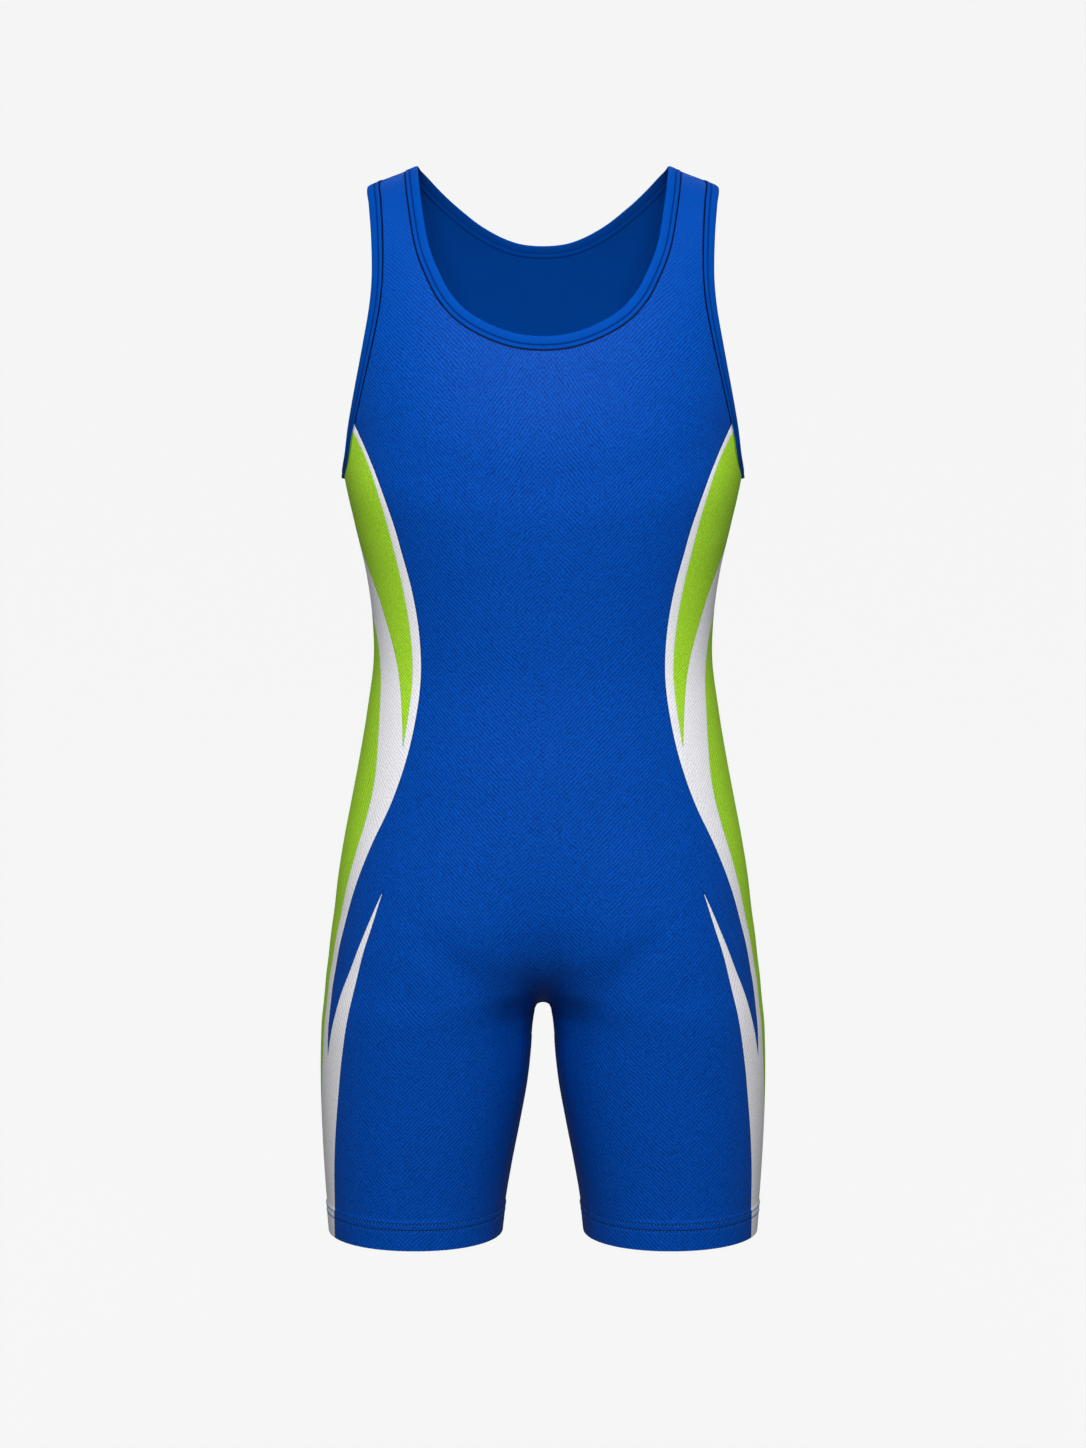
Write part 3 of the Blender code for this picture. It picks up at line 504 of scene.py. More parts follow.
def panel_grids(behind):
    """Half a front or back panel as three grids: the thigh, its outer wedge, and all above them."""
    spike = SPIKE_BACK if behind else SPIKE_FRONT
    tip = spike[0][0]
    inner_columns = np.linspace(0, 1, 8 * FINE + 1)
    outer_columns = np.linspace(0, 1, 2 * FINE + 1)
    thigh, wedge, upper, steps = [], [], [], []
    for row in divided(APEX_ROW):
        height = level(row)
        low = level_inner(row, behind)
        if low < CROTCH_SEAM:
            start = beside(angle_of(inseam_x(low), low), low, GUSSET_GAP / 2)
        else:
            low += GUSSET_GAP / 2 * (low == CROTCH_SEAM)
            start = angle_of(0.0, low)
        end = beside(smooth(WHITE_EDGE, height), height, -SEAM_GAP / 2)
        if height <= tip:
            stop = smooth(spike, height, 1)
            tip_share = (stop - start) / (end - start)
            if height < tip:
                stop = beside(stop, height, -SEAM_GAP / 2)
            heights = low + (height - low) * inner_columns
            thigh.append(body_point(start + (stop - start) * inner_columns, heights, behind))
        if WEDGE_TIP - 0.01 <= height <= tip:
            point = stop if height == tip else beside(smooth(spike, height, 2), height, SEAM_GAP / 2)
            place = height
            if height < WEDGE_TIP + TIP_BACK:
                place = WEDGE_TIP + TIP_BACK
                point = end = (smooth(spike, place, 2) + smooth(WHITE_EDGE, place)) / 2
            point = min(point, end)
            wedge.append(body_point(point + (end - point) * outer_columns, place + 0 * outer_columns, behind))
            gap = np.linalg.norm(wedge[-1][0] - thigh[-1][-1])
            steps.append(row_start(thigh[-1]) + lengths(thigh[-1])[-1] + gap)
        if height >= tip:
            fade = max(0.0, 1.0 - (height - tip) / SPLIT_FADE)
            split = PLAIN_SPLIT + (tip_share - PLAIN_SPLIT) * fade
            shares = np.append(inner_columns * split, (split + (1 - split) * outer_columns)[1:])
            rise = shares + (np.minimum(1.0, shares / split) - shares) * fade
            upper.append(body_point(start + (end - start) * shares, low + (height - low) * rise, behind))
    shares = np.append(inner_columns * PLAIN_SPLIT, (PLAIN_SPLIT + (1 - PLAIN_SPLIT) * outer_columns)[1:])
    for inner, outer, straight in upper_ends(behind):
        a, b = (angle_of(p[0], p[2]) for p in (inner, outer))
        sign = 1 if behind else -1
        drift = [p[1] - sign * depth_at(p[0], p[2], behind) for p in (inner, outer)]
        strap = np.clip((inner[2] + outer[2] - 2 * STRAP_LOW) / (2 * STRAP_RISE), 0.0, 1.0)
        height = inner[2] + (outer[2] - inner[2]) * shares
        x = inner[0] + (outer[0] - inner[0]) * shares
        if straight < 1.0:
            turned = body_point(a + (b - a) * shares, height, behind)[:, 0]
            x = turned + (x - turned) * straight
        y = sign * depth_at(np.maximum(x, 0.0), height, behind) + drift[0] + (drift[1] - drift[0]) * shares
        y += (inner[1] + (outer[1] - inner[1]) * shares - y) * strap
        line = np.stack([x, y, height], axis=-1)
        line[0], line[-1] = inner, outer
        upper.append(line)
    grids = [np.array(grid) for grid in (thigh, wedge, upper)]
    for grid in grids:
        grid[:, 0, 0] = np.where(np.abs(grid[:, 0, 0]) < 0.01, 0.0, grid[:, 0, 0])
    starts = ([row_start(row) for row in grids[0]], steps, [row_start(row) for row in grids[2]])
    return [(grid, behind, start) for grid, start in zip(grids, starts)]


def to_shoulder(curve, start, top, count):
    """Places along a curve to the shoulder line, the last but one just short of it."""
    back = TOP_ROW if start > top else -TOP_ROW
    return np.append(sample(curve, start, moved(top, curve, back), count - 1), top)


def upper_ends(behind):
    """Ends of the rows above the white apex, and how straight each row runs."""
    sign = 1 if behind else -1
    base = APEX_ROW - TIP_ROW
    if behind:
        arm_rows, centre_rows = BACK_ARM_ROWS, SIDE_ROWS + BACK_NECK_ROW
        neck_bottom, arm_top, corner_place = neck_end_place, closing_place, back_corner
    else:
        arm_rows, centre_rows = FRONT_ARM_ROWS, FRONT_NECK_ROW
        neck_bottom, arm_top, corner_place = 0.0, 0.0, front_corner
    corner = moved(corner_place, arm_seam, sign * SEAM_GAP / 2)
    rise = at(arm_seam, corner_place)[2] - WHITE_APEX
    neck_rows = SIDE_ROWS + arm_rows - centre_rows
    neck_places = to_shoulder(neck_seam, neck_bottom, neck_top_place, neck_rows)
    arm_places = to_shoulder(arm_seam, corner, arm_top, arm_rows)
    ends = []
    for row in divided(SIDE_ROWS + arm_rows)[1:]:
        if row < centre_rows:
            low = LIME_TIP + centre_step(behind) * (base + row)
            inner = np.array((0.0, sign * float(depth_at(0.0, low, behind)), low))
        else:
            inner = at(neck_seam, np.interp(row - centre_rows, np.arange(neck_rows + 1), neck_places))
        if row < SIDE_ROWS:
            share = row / SIDE_ROWS
            height = WHITE_APEX + rise * share
            angle = corner_edge(WHITE_EDGE, corner_place, height, share)
            outer = body_point(beside(angle, height, -SEAM_GAP / 2), height, behind)
        else:
            outer = at(arm_seam, np.interp(row - SIDE_ROWS, np.arange(arm_rows + 1), arm_places))
        ends.append((inner, outer, min(1.0, row / SIDE_ROWS)))
    seam = sign * np.array((0.0, SEAM_GAP / 2, 0.0))
    ends[-1] = (ends[-1][0] + seam, ends[-1][1] + seam, 1.0)
    return ends


# The cloth is close fitting, so it creases only where it is drawn: one soft trough crosses the chest
# at the level of the armpits, four small ones with two ridges lie under each side of the seat, and
# one soft one crosses the front of the crotch, with one beside it down each thigh.
# Millimetres: behind or not, points on the way (distance from the centre line, height), width, depth.
CREASES = (
    (False, ((152, -212), (120, -222), (84, -232), (44, -238), (-44, -238), (-84, -232)), 20.0, -1.5),
    (True, ((126, -668), (106, -676), (84, -682), (62, -683), (46, -679)), 5.0, -1.8),
    (True, ((118, -659), (98, -668), (76, -674), (56, -674)), 4.5, 1.0),
    (True, ((112, -682), (92, -690), (72, -694), (55, -692)), 5.5, -1.3),
    (True, ((104, -690), (84, -697), (66, -700)), 5.0, 0.7),
    (True, ((64, -703), (46, -707), (30, -704)), 5.0, -0.7),
    (True, ((20, -655), (34, -668), (52, -676)), 6.0, -0.8),
    (False, ((-60, -636), (-28, -655), (0, -664), (28, -655), (60, -636), (92, -612)), 18.0, -2.6),
    (False, ((100, -606), (74, -634), (50, -661), (32, -686), (26, -712), (27, -738)), 15.0, -2.6),
)
CREASE_STEPS = 8
CREASE_REACH = 80.0


def crease(points):
    """How far each point is raised or sunk by the creases."""
    lift = np.zeros(len(points))
    folded = points.copy()
    folded[:, 0] = np.abs(folded[:, 0])
    for behind, way, width, depth in CREASES:
        line = through(edge_points(way, behind), True, CREASE_STEPS)
        line = line[: CREASE_STEPS * (len(way) - 1) + 1]
        near = np.abs(folded[:, 2] - line[:, 2].mean()) < CREASE_REACH
        gap = np.linalg.norm(folded[near][:, None] - line[None], axis=2)
        place = gap.argmin(axis=1) / (len(line) - 1)
        fade = np.sin(np.pi * np.clip(place, 0.0, 1.0)) ** 0.7
        lift[near] += depth * fade * np.exp(-((gap.min(axis=1) / width) ** 2))
    return lift


# The cloth and its turned-up hem, in millimetres: walls, top of the hem, its two rows of stitches,
# and the level below which an edge is the hem's own.
CLOTH_WALL = 1.4
HEM_WALL = 2.6
HEM_TOP = -852.4
HEM_ROWS = (-859.3, -853.6)
HEM_EDGE = -875.0

# How the knit is drawn. The real loops lie 0.5 mm apart; the ribs are drawn 2.6 mm apart, the finest
# that still show. A noise of about 22 mm and one of 4 mm make them wander, and one of 2 mm is the
# grain. Ribs and grain go into the bumps and into the colour, as painted shade in their valleys and
# a painted highlight on their crests. Scales are in cycles a metre. The ribs fade up the straps,
# where the cloth is stretched. The lines at seams and bindings, painted shade in their ditches, are
# in millimetres; heights and the hem's lines, painted shade in its grooves, are in metres.
RIB_PITCH = 2.6
WANDER_SCALE, WANDER = 45.0, 9.0
JITTER_SCALE, JITTER = 250.0, 3.2
GRAIN_SCALE, GRAIN_SHOW = 520.0, 0.8
RIB_SHOW = 0.27
RIB_RELIEF = 0.14
STRAP_FADE = {"From Min": -0.13, "From Max": -0.02, "To Min": 1.0, "To Max": 0.25}
SEAM_SHADE_START = 0.1
BINDING_DITCH_SHADE = {"From Min": 1.5, "From Max": 2.4}
HEM_GROOVE_SHADE = {"From Min": 0.0003, "From Max": 0.001, "To Min": 0.3}
HEM_SINK = {"From Max": 0.0018, "To Min": -0.5, "To Max": 0.0}


def knit(name, valley_tone_and_shade, light, edge, mark, turn):
    """A polyester-elastane warp knit: slanting ribs of loops, a little wavy, satin and dense.

    The colour swings with the ribs between two tones, painted shade in their valleys and a painted
    highlight on their crests, over the knit's own tone. A line of painted shade in the colour edge lies
    at every seam, as wide as mark, where the cloth turns down by turn, and beside each binding and in
    the hem's grooves. Mark and turn are in millimetres."""
    material, tree, surface = blank(name, 0.57, 0.11)
    cut = add(tree, "UVMap", uv_map="cut").outputs["UV"]
    place = add(tree, "VectorMath", {0: cut, "Scale": 1000.0}, operation="SCALE").outputs[0]
    sides = add(tree, "SeparateXYZ", {0: place}).outputs
    across = add(tree, "Math", {0: sides["X"]}, operation="ABSOLUTE").outputs[0]
    spot = add(tree, "TexCoord").outputs["Object"]
    high = add(tree, "SeparateXYZ", {0: spot}).outputs["Z"]
    swirl = add(tree, "TexNoise", {"Vector": spot, "Scale": WANDER_SCALE, "Detail": 1.0}).outputs["Fac"]
    curl = add(tree, "TexNoise", {"Vector": spot, "Scale": JITTER_SCALE, "Detail": 1.0}).outputs["Fac"]
    drift = add(tree, "Math", {0: swirl, 1: WANDER}, operation="MULTIPLY").outputs[0]
    drift = add(tree, "Math", {0: curl, 1: JITTER, 2: drift}, operation="MULTIPLY_ADD").outputs[0]
    ribs = []
    for way in (1.0, -1.0):
        slant = add(tree, "Math", {0: across, 1: way, 2: sides["Y"]}, operation="MULTIPLY_ADD").outputs[0]
        turns = {0: slant, 1: math.sqrt(2) * math.pi / RIB_PITCH, 2: drift}
        turned = add(tree, "Math", turns, operation="MULTIPLY_ADD").outputs[0]
        ribs.append(add(tree, "Math", {0: turned}, operation="SINE").outputs[0])
    lean = add(tree, "Attribute", attribute_name="lean").outputs["Fac"]
    stray = add(tree, "MapRange", {"Value": curl, "From Min": 0.3, "From Max": 0.7, "To Min": -0.4,
                                   "To Max": 0.4}).outputs[0]
    lean = add(tree, "Math", {0: lean, 1: stray}, operation="ADD", use_clamp=True).outputs[0]
    loops = add(tree, "Mix", {"Factor": lean, "A": ribs[0], "B": ribs[1]}).outputs[0]
    grain = add(tree, "TexNoise", {"Vector": spot, "Scale": GRAIN_SCALE, "Detail": 1.0}).outputs["Fac"]
    grain = add(tree, "Math", {0: grain, 1: 0.5}, operation="SUBTRACT").outputs[0]
    relief = add(tree, "Math", {0: loops, 1: RIB_SHOW}, operation="MULTIPLY").outputs[0]
    relief = add(tree, "Math", {0: grain, 1: GRAIN_SHOW, 2: relief}, operation="MULTIPLY_ADD").outputs[0]
    taut = add(tree, "MapRange", {"Value": high, **STRAP_FADE}).outputs[0]
    relief = add(tree, "Math", {0: relief, 1: taut}, operation="MULTIPLY").outputs[0]
    share = add(tree, "Math", {0: relief, 1: 0.5}, operation="ADD", use_clamp=True).outputs[0]
    # The ribs' two tones: painted shade in the valleys, painted highlight on the crests.
    tint = add(tree, "Mix", {"Factor": share, "A": valley_tone_and_shade, "B": light}, data_type="RGBA").outputs["Result"]
    seam = add(tree, "Attribute", attribute_name="seam").outputs["Fac"]
    trim = add(tree, "Attribute", attribute_name="trim").outputs["Fac"]
    # A line of painted shade in the ditch of each seam, as wide as mark.
    line = {"Value": seam, "From Min": SEAM_SHADE_START, "From Max": mark, "To Min": 0.6}
    line = add(tree, "MapRange", line, interpolation_type="SMOOTHSTEP").outputs[0]
    # Painted shadow in the ditch beside each binding.
    shadow = {"Value": trim, **BINDING_DITCH_SHADE}
    shadow = add(tree, "MapRange", shadow, interpolation_type="SMOOTHSTEP").outputs[0]
    # Painted shade in the grooves of the hem's two rows, and the bumps that sink them.
    rows, folds = [], []
    for row in HEM_ROWS:
        gap = add(tree, "Math", {0: high, 1: row * MM}, operation="SUBTRACT").outputs[0]
        gap = add(tree, "Math", {0: gap}, operation="ABSOLUTE").outputs[0]
        for shades, ramp in ((rows, HEM_GROOVE_SHADE), (folds, HEM_SINK)):
            ramp = {"Value": gap, **ramp}
            shades.append(add(tree, "MapRange", ramp, interpolation_type="SMOOTHSTEP").outputs[0])
    lowest = line
    for other in (shadow, *rows):
        lowest = add(tree, "Math", {0: lowest, 1: other}, operation="MINIMUM").outputs[0]
    # All these lines of painted shade take the colour edge.
    tint = add(tree, "Mix", {"Factor": lowest, "A": edge, "B": tint}, data_type="RGBA").outputs["Result"]
    tree.links.new(tint, surface["Base Color"])
    roll = {"Value": seam, "From Max": 2.0, "To Min": -turn, "To Max": 0.0}
    roll = add(tree, "MapRange", roll, interpolation_type="SMOOTHSTEP").outputs[0]
    height = add(tree, "Math", {0: relief, 1: RIB_RELIEF, 2: roll}, operation="MULTIPLY_ADD").outputs[0]
    for fold in folds:
        height = add(tree, "Math", {0: height, 1: fold}, operation="ADD").outputs[0]
    bump = add(tree, "Bump", {"Height": height, "Strength": 1.0, "Distance": MM})
    tree.links.new(bump.outputs[0], surface["Normal"])
    return material


def reverse(name, face):
    """The matt inner face of the knit, darker partly because its loops lie open and partly as painted
    shade for the inside of the garment: plain, with soft clouds.

    The clouds are about 33 mm wide and the grain of the loops is drawn 1.4 mm wide."""
    material, tree, surface = blank(name, 0.9, 0.04)
    place = add(tree, "UVMap", uv_map="cut").outputs["UV"]
    cloud = add(tree, "TexNoise", {"Vector": place, "Scale": 30.0, "Detail": 4.0}).outputs["Fac"]
    dim = tuple(0.86 * c for c in face[:3]) + (1.0,)
    tint = add(tree, "Mix", {"Factor": cloud, "A": dim, "B": face}, data_type="RGBA").outputs["Result"]
    tree.links.new(tint, surface["Base Color"])
    fine = add(tree, "TexNoise", {"Vector": place, "Scale": 700.0, "Detail": 1.0}).outputs["Fac"]
    bump = add(tree, "Bump", {"Height": fine, "Strength": 0.4, "Distance": 0.2 * MM})
    tree.links.new(bump.outputs[0], surface["Normal"])
    return material


# Millimetres. The middle of the strap. The middle of each form that the ribs slant away from: at
# the chest, and how far it moves out again down the thigh. Where the cut of a side piece starts.
# How near a binding's seam an edge counts as bound. How near two points are joined, in the mesh and
# by the mirror.
STRAP_MIDDLE = 118.0
CHEST_MIDDLE = 62.0
THIGH_MIDDLE = 126.0
SIDE_START = 160.0
TRIM_REACH = 2.0
JOIN = 0.03
MERGE = 0.1 * MM


def climb(points, behind):
    """Length of the cloth from the level of the crotch up to some points, along the strap's middle."""
    top = SHOULDER_SLOPE * (NECK_POINT_X - np.abs(points[..., 0]))
    drawn = np.clip((points[..., 2] - YOKE) / (top - YOKE), 0.0, 1.0)
    share = np.concatenate([np.linspace(-2.6, 0, 100)[:-1], np.sin(np.linspace(0, np.pi / 2, 200))])
    heights = YOKE - share * YOKE
    below = heights[:-1] * (heights[:-1] < 0)
    depths = np.append(depth_at(np.full(len(below), STRAP_MIDDLE), below, behind), 0.0)
    depths[:100] = depths[99]
    along = lengths(np.stack([heights, depths], axis=-1)) + heights[0]
    reach = np.where(points[..., 2] < YOKE, 1.0 - points[..., 2] / YOKE, drawn)
    return np.interp(reach, share, along)


def rib_lean(across, height):
    """Which way the ribs slant: a soft V down each form, crossing over at its middle."""
    middle = CHEST_MIDDLE * np.clip((height + 420.0) / 220.0, 0.0, 1.0)
    middle = middle + THIGH_MIDDLE * np.clip((-470.0 - height) / 290.0, 0.0, 1.0)
    lean = np.clip(0.5 + (across - middle) / 50.0, 0.0, 1.0)
    return 0.5 + (lean - 0.5) * np.clip(across / 30.0, 0.0, 1.0)


def laid_out(shape, rows, columns):
    """The vertices of a new grid, each with its row and its column."""
    made = bmesh.ops.create_grid(shape, x_segments=columns, y_segments=rows, size=1.0)["verts"]
    return [(v, round((v.co.y + 1) * rows / 2), round((v.co.x + 1) * columns / 2)) for v in made]


def piece_of(name, mesh, finishes):
    """A finished mesh as a piece of the garment, which rides the garment's one body."""
    for finish in finishes:
        mesh.materials.append(finish)
    piece = bpy.data.objects.new(name, mesh)
    scene.collection.objects.link(piece)
    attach(piece, "root")
    return piece


def cloth(name, grids, finishes, mirrored=False, side=1):
    """One piece of cloth from its grids: joined, creased, given its cut's coordinates and a wall."""
    shape = bmesh.new()
    cut = shape.loops.layers.uv.new("cut")
    for points, flip, *starts in grids:
        rows, columns = points.shape[0] - 1, points.shape[1] - 1
        made = laid_out(shape, rows, columns)
        round_form = np.linalg.norm(np.diff(points, axis=1), axis=2)
        round_form = np.concatenate([np.zeros((rows + 1, 1)), np.cumsum(round_form, axis=1)], axis=1)
        if not mirrored:
            round_form = round_form - round_form[:, -1:] + SIDE_START
        for start in starts:
            round_form = round_form + np.array(start)[:, None]
        up = climb(points, flip)
        turn = -1 if flip else 1
        for vertex, row, column in made:
            vertex.co = points[row, column] * (side, 1, 1)
            for loop in vertex.link_loops:
                loop[cut].uv = (side * turn * round_form[row, column] * MM, up[row, column] * MM)
        if flip != (side < 0):
            faces = {face for vertex, *_ in made for face in vertex.link_faces}
            bmesh.ops.reverse_faces(shape, faces=list(faces))
    bmesh.ops.remove_doubles(shape, verts=shape.verts, dist=JOIN)
    bmesh.ops.dissolve_degenerate(shape, edges=shape.edges, dist=0.01)
    shape.normal_update()
    points = np.array([v.co for v in shape.verts])
    normals = np.array([v.normal for v in shape.verts])
    normals[np.abs(points[:, 0]) < 0.01, 0] = 0.0
    raised = points + normals * crease(points)[:, None]
    for vertex, spot in zip(shape.verts, raised):
        vertex.co = spot * MM
    shape.verts.index_update()
    ends = [[points[v.index] for v in e.verts] for e in shape.edges if e.is_boundary]
    sideways = [[loop[cut].uv.x for loop in v.link_loops] for v in shape.verts]
    for edge in shape.edges:
        on_centre = mirrored and all(abs(points[v.index][0]) < 0.05 for v in edge.verts)
        edge.smooth = on_centre or not edge.is_boundary
    mesh = bpy.data.meshes.new(name)
    for face in shape.faces:
        face.smooth = True
    shape.to_mesh(mesh)
    shape.free()
    trims = np.vstack([neck_seam, arm_seam]) * (side, 1, 1)
    seams = []
    for a, b in ends:
        middle = (a + b) / 2
        if a[2] < HEM_EDGE and b[2] < HEM_EDGE:
            continue
        if mirrored and abs(a[0]) < 0.05 and abs(b[0]) < 0.05:
            continue
        if np.linalg.norm(trims - middle, axis=1).min() < TRIM_REACH:
            continue
        seams += [a + (b - a) * t for t in np.linspace(0, 1, 9)]
    for attribute, lines in (("seam", seams), ("trim", list(trims))):
        tree = KDTree(len(lines))
        for k, point in enumerate(lines):
            tree.insert(point, k)
        tree.balance()
        values = [tree.find(point)[2] for point in points]
        mesh.attributes.new(attribute, "FLOAT", "POINT").data.foreach_set("value", values)
    across = np.array([np.mean([abs(loop) for loop in row]) for row in sideways])
    lean = rib_lean(across / MM, points[:, 2])
    mesh.attributes.new("lean", "FLOAT", "POINT").data.foreach_set("value", lean)
    piece = piece_of(name, mesh, finishes)
    hem = piece.vertex_groups.new(name="hem")
    for vertex, point in zip(mesh.vertices, points):
        hem.add([vertex.index], 1.0 if point[2] <= HEM_TOP else CLOTH_WALL / HEM_WALL, "REPLACE")
    if mirrored:
        mirror = piece.modifiers.new("Mirror", "MIRROR")
        mirror.merge_threshold = MERGE
    shell = piece.modifiers.new("Wall", "SOLIDIFY")
    shell.thickness = HEM_WALL * MM
    shell.offset = 0.0
    shell.vertex_group = "hem"
    shell.material_offset = 1
    return piece


# Blue ribs, with painted shade between them and a painted highlight on their crests, and near-black
# painted shade along the seam lines. The reverse is darker, partly as painted shade for the inside.
blue_face = knit("royal_blue_warp_knit", colour("00286a"), colour("0053c0"), colour("000c2c"), 0.7, 0.25)
blue_inside = reverse("royal_blue_knit_reverse", colour("003884"))

front_panel = cloth("front_panel_cloth", panel_grids(False), (blue_face, blue_inside), True)
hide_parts("front_panel")

# ---------------------------------------------------------------------------- back panel
# The same knit, cut as a racer back that narrows between the armholes, with the fuller seat. Its
# notches for the white spikes are shorter than in front.
SPIKE_BACK = ((-607, 49.3, 49.3), (-620, 49.1, 49.9), (-642, 48.5, 51.1), (-674, 48.1, 55.1),
              (-705, 49.4, 62.1), (-726, 52.0, 67.5), (-756, 54.6, 67.5), (-791, 58.4, 67.5),
              (-816, 60.9, 67.5), (-846, 63.3, 67.5), (-876, 66.5, 67.5))
BACK_ARM_ROWS = 18
BACK_NECK_ROW = 8
BACK_CORNER_X = 124.5
BACK_CORNER_SPANS = 9

back_turn = np.arange(int(armpit_place), int(armpit_place) + CURVE_STEPS * BACK_CORNER_SPANS)
back_corner = float(np.interp(-BACK_CORNER_X, -arm_seam[back_turn, 0], back_turn))
back_panel = cloth("back_panel_cloth", panel_grids(True), (blue_face, blue_inside), True)
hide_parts("back_panel")

# ---------------------------------------------------------------------------- crotch gusset
# A narrow strip of the blue knit up the inner leg, over the crotch and down the other leg. Its
# middle at the crotch, in millimetres: height of the row at the seam, distance from the centre
# plane, height.
ARCH = ((-677, 0.0, -684.0), (-678.5, 3.6, -684.6), (-682, 6.0, -687.5), (-689, 7.6, -694.0),
        (-699, 8.9, -702.5), (-713, 10.0, -715.0))
GUSSET_TURN = math.radians(23.0)


def gusset_grid():
    """Rows across the gusset, from the hem up the inner leg to the top of the crotch."""
    rows = []
    for row in divided(APEX_ROW):
        low = level_inner(row, False)
        if low > CROTCH_SEAM:
            break
        edge = low - GUSSET_GAP / 2 * (low == CROTCH_SEAM)
        seam = float(on_body(beside(angle_of(inseam_x(low), low), low, -GUSSET_GAP / 2), low)[0])
        seam = max(0.0, seam) * (low < CROTCH_SEAM)
        if low < ARCH[-1][0]:
            middle = (inner_edge_x(low), low)
        else:
            middle = (smooth(ARCH, low, 1) * (low < CROTCH_SEAM), smooth(ARCH, low, 2))
        share = np.linspace(-1, 1, 4 * FINE + 1)
        turn = GUSSET_TURN * np.abs(share)
        rise = (1 - np.cos(turn)) / (1 - math.cos(GUSSET_TURN))
        reach = np.sin(turn) / math.sin(GUSSET_TURN)
        depth = [float(depth_at(seam, edge, behind)) for behind in (False, True)]
        rows.append(np.stack([
            middle[0] + (seam - middle[0]) * rise,
            reach * np.where(share > 0, depth[1], -depth[0]),
            middle[1] + (edge - middle[1]) * rise,
        ], axis=-1))
    return np.array(rows)


gusset = cloth("crotch_gusset_cloth", [(gusset_grid(), True)], (blue_face, blue_inside), True)
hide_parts("crotch_gusset")

# ---------------------------------------------------------------------------- white side panels
# White knit down each side from the armhole to the hem: a strip beside the blue, a wedge round the
# waist between the two lime inserts, and a long spike down the thigh.
# Its seams to the upper lime insert, outside and inside, and to the lower one: height, angle.
LIME_OUTER = ((-203, 69.9), (-222, 60.9), (-240, 55.6), (-256, 53.0), (-289, 51.0), (-323, 50.2),
              (-356, 49.2), (-398, 48.3), (-430, 48.5), (-462, 49.4))
LIME_INNER = ((-300, 90.0), (-303, 85.0), (-306, 82.9), (-309, 81.3), (-312, 80.0), (-315, 78.8),
              (-330, 73.1), (-345, 68.4), (-361, 64.9), (-376, 61.4), (-392, 58.3), (-408, 55.7),
              (-424, 53.4), (-440, 51.5), (-462, 49.4))
SPINDLE = ((-360, 90.0), (-364, 83.4), (-368, 80.8), (-372, 78.9), (-381, 76.0), (-397, 73.2),
           (-412, 70.8), (-428, 68.9), (-460, 65.7), (-492, 63.5), (-526, 64.6), (-560, 67.6),
           (-594, 70.8), (-628, 73.7), (-663, 75.8), (-696, 75.8), (-712, 76.0), (-738, 78.2),
           (-764, 82.0), (-800, 90.0))
SPINDLE_TOP = -360.0
SPINDLE_END = -800.0
BLUNT_BACK = 0.5
# Width of the strip along the armhole's seam, in front and behind. Below the lime point, its share
# of the band that it joins, the smaller share right at the point, and the drop over which it grows.
STRIP_WIDTH_FRONT = 7.0
STRIP_WIDTH_BACK = 4.5
STRIP_SHARE = 0.33
STRIP_SHARE_AT_TIP = 0.15
SHARE_FADE = 120.0
SIDES = (("left", 1), ("right", -1))

front_lime = moved(front_corner, arm_seam, STRIP_WIDTH_FRONT)
back_lime = moved(back_corner, arm_seam, -STRIP_WIDTH_BACK)


def band(first, last, columns, rows, behind, tips=()):
    """A band between two angles that depend on the height."""
    grid = []
    for height in rows:
        a, b = first(height), last(height)
        place = height
        for tip, back in tips:
            if abs(height - tip) < abs(back):
                place = tip + back
            if height == tip:
                a = b = (first(place) + last(place)) / 2
        a = min(a, b)
        grid.append(body_point(a + (b - a) * np.linspace(0, 1, columns + 1), place, behind))
    return np.array(grid)


def gap_from(table, column=1, side=1):
    """A cloth's edge beside a seam, as an angle for each height."""
    return lambda z: beside(smooth(table, z, column), z, side * SEAM_GAP / 2)


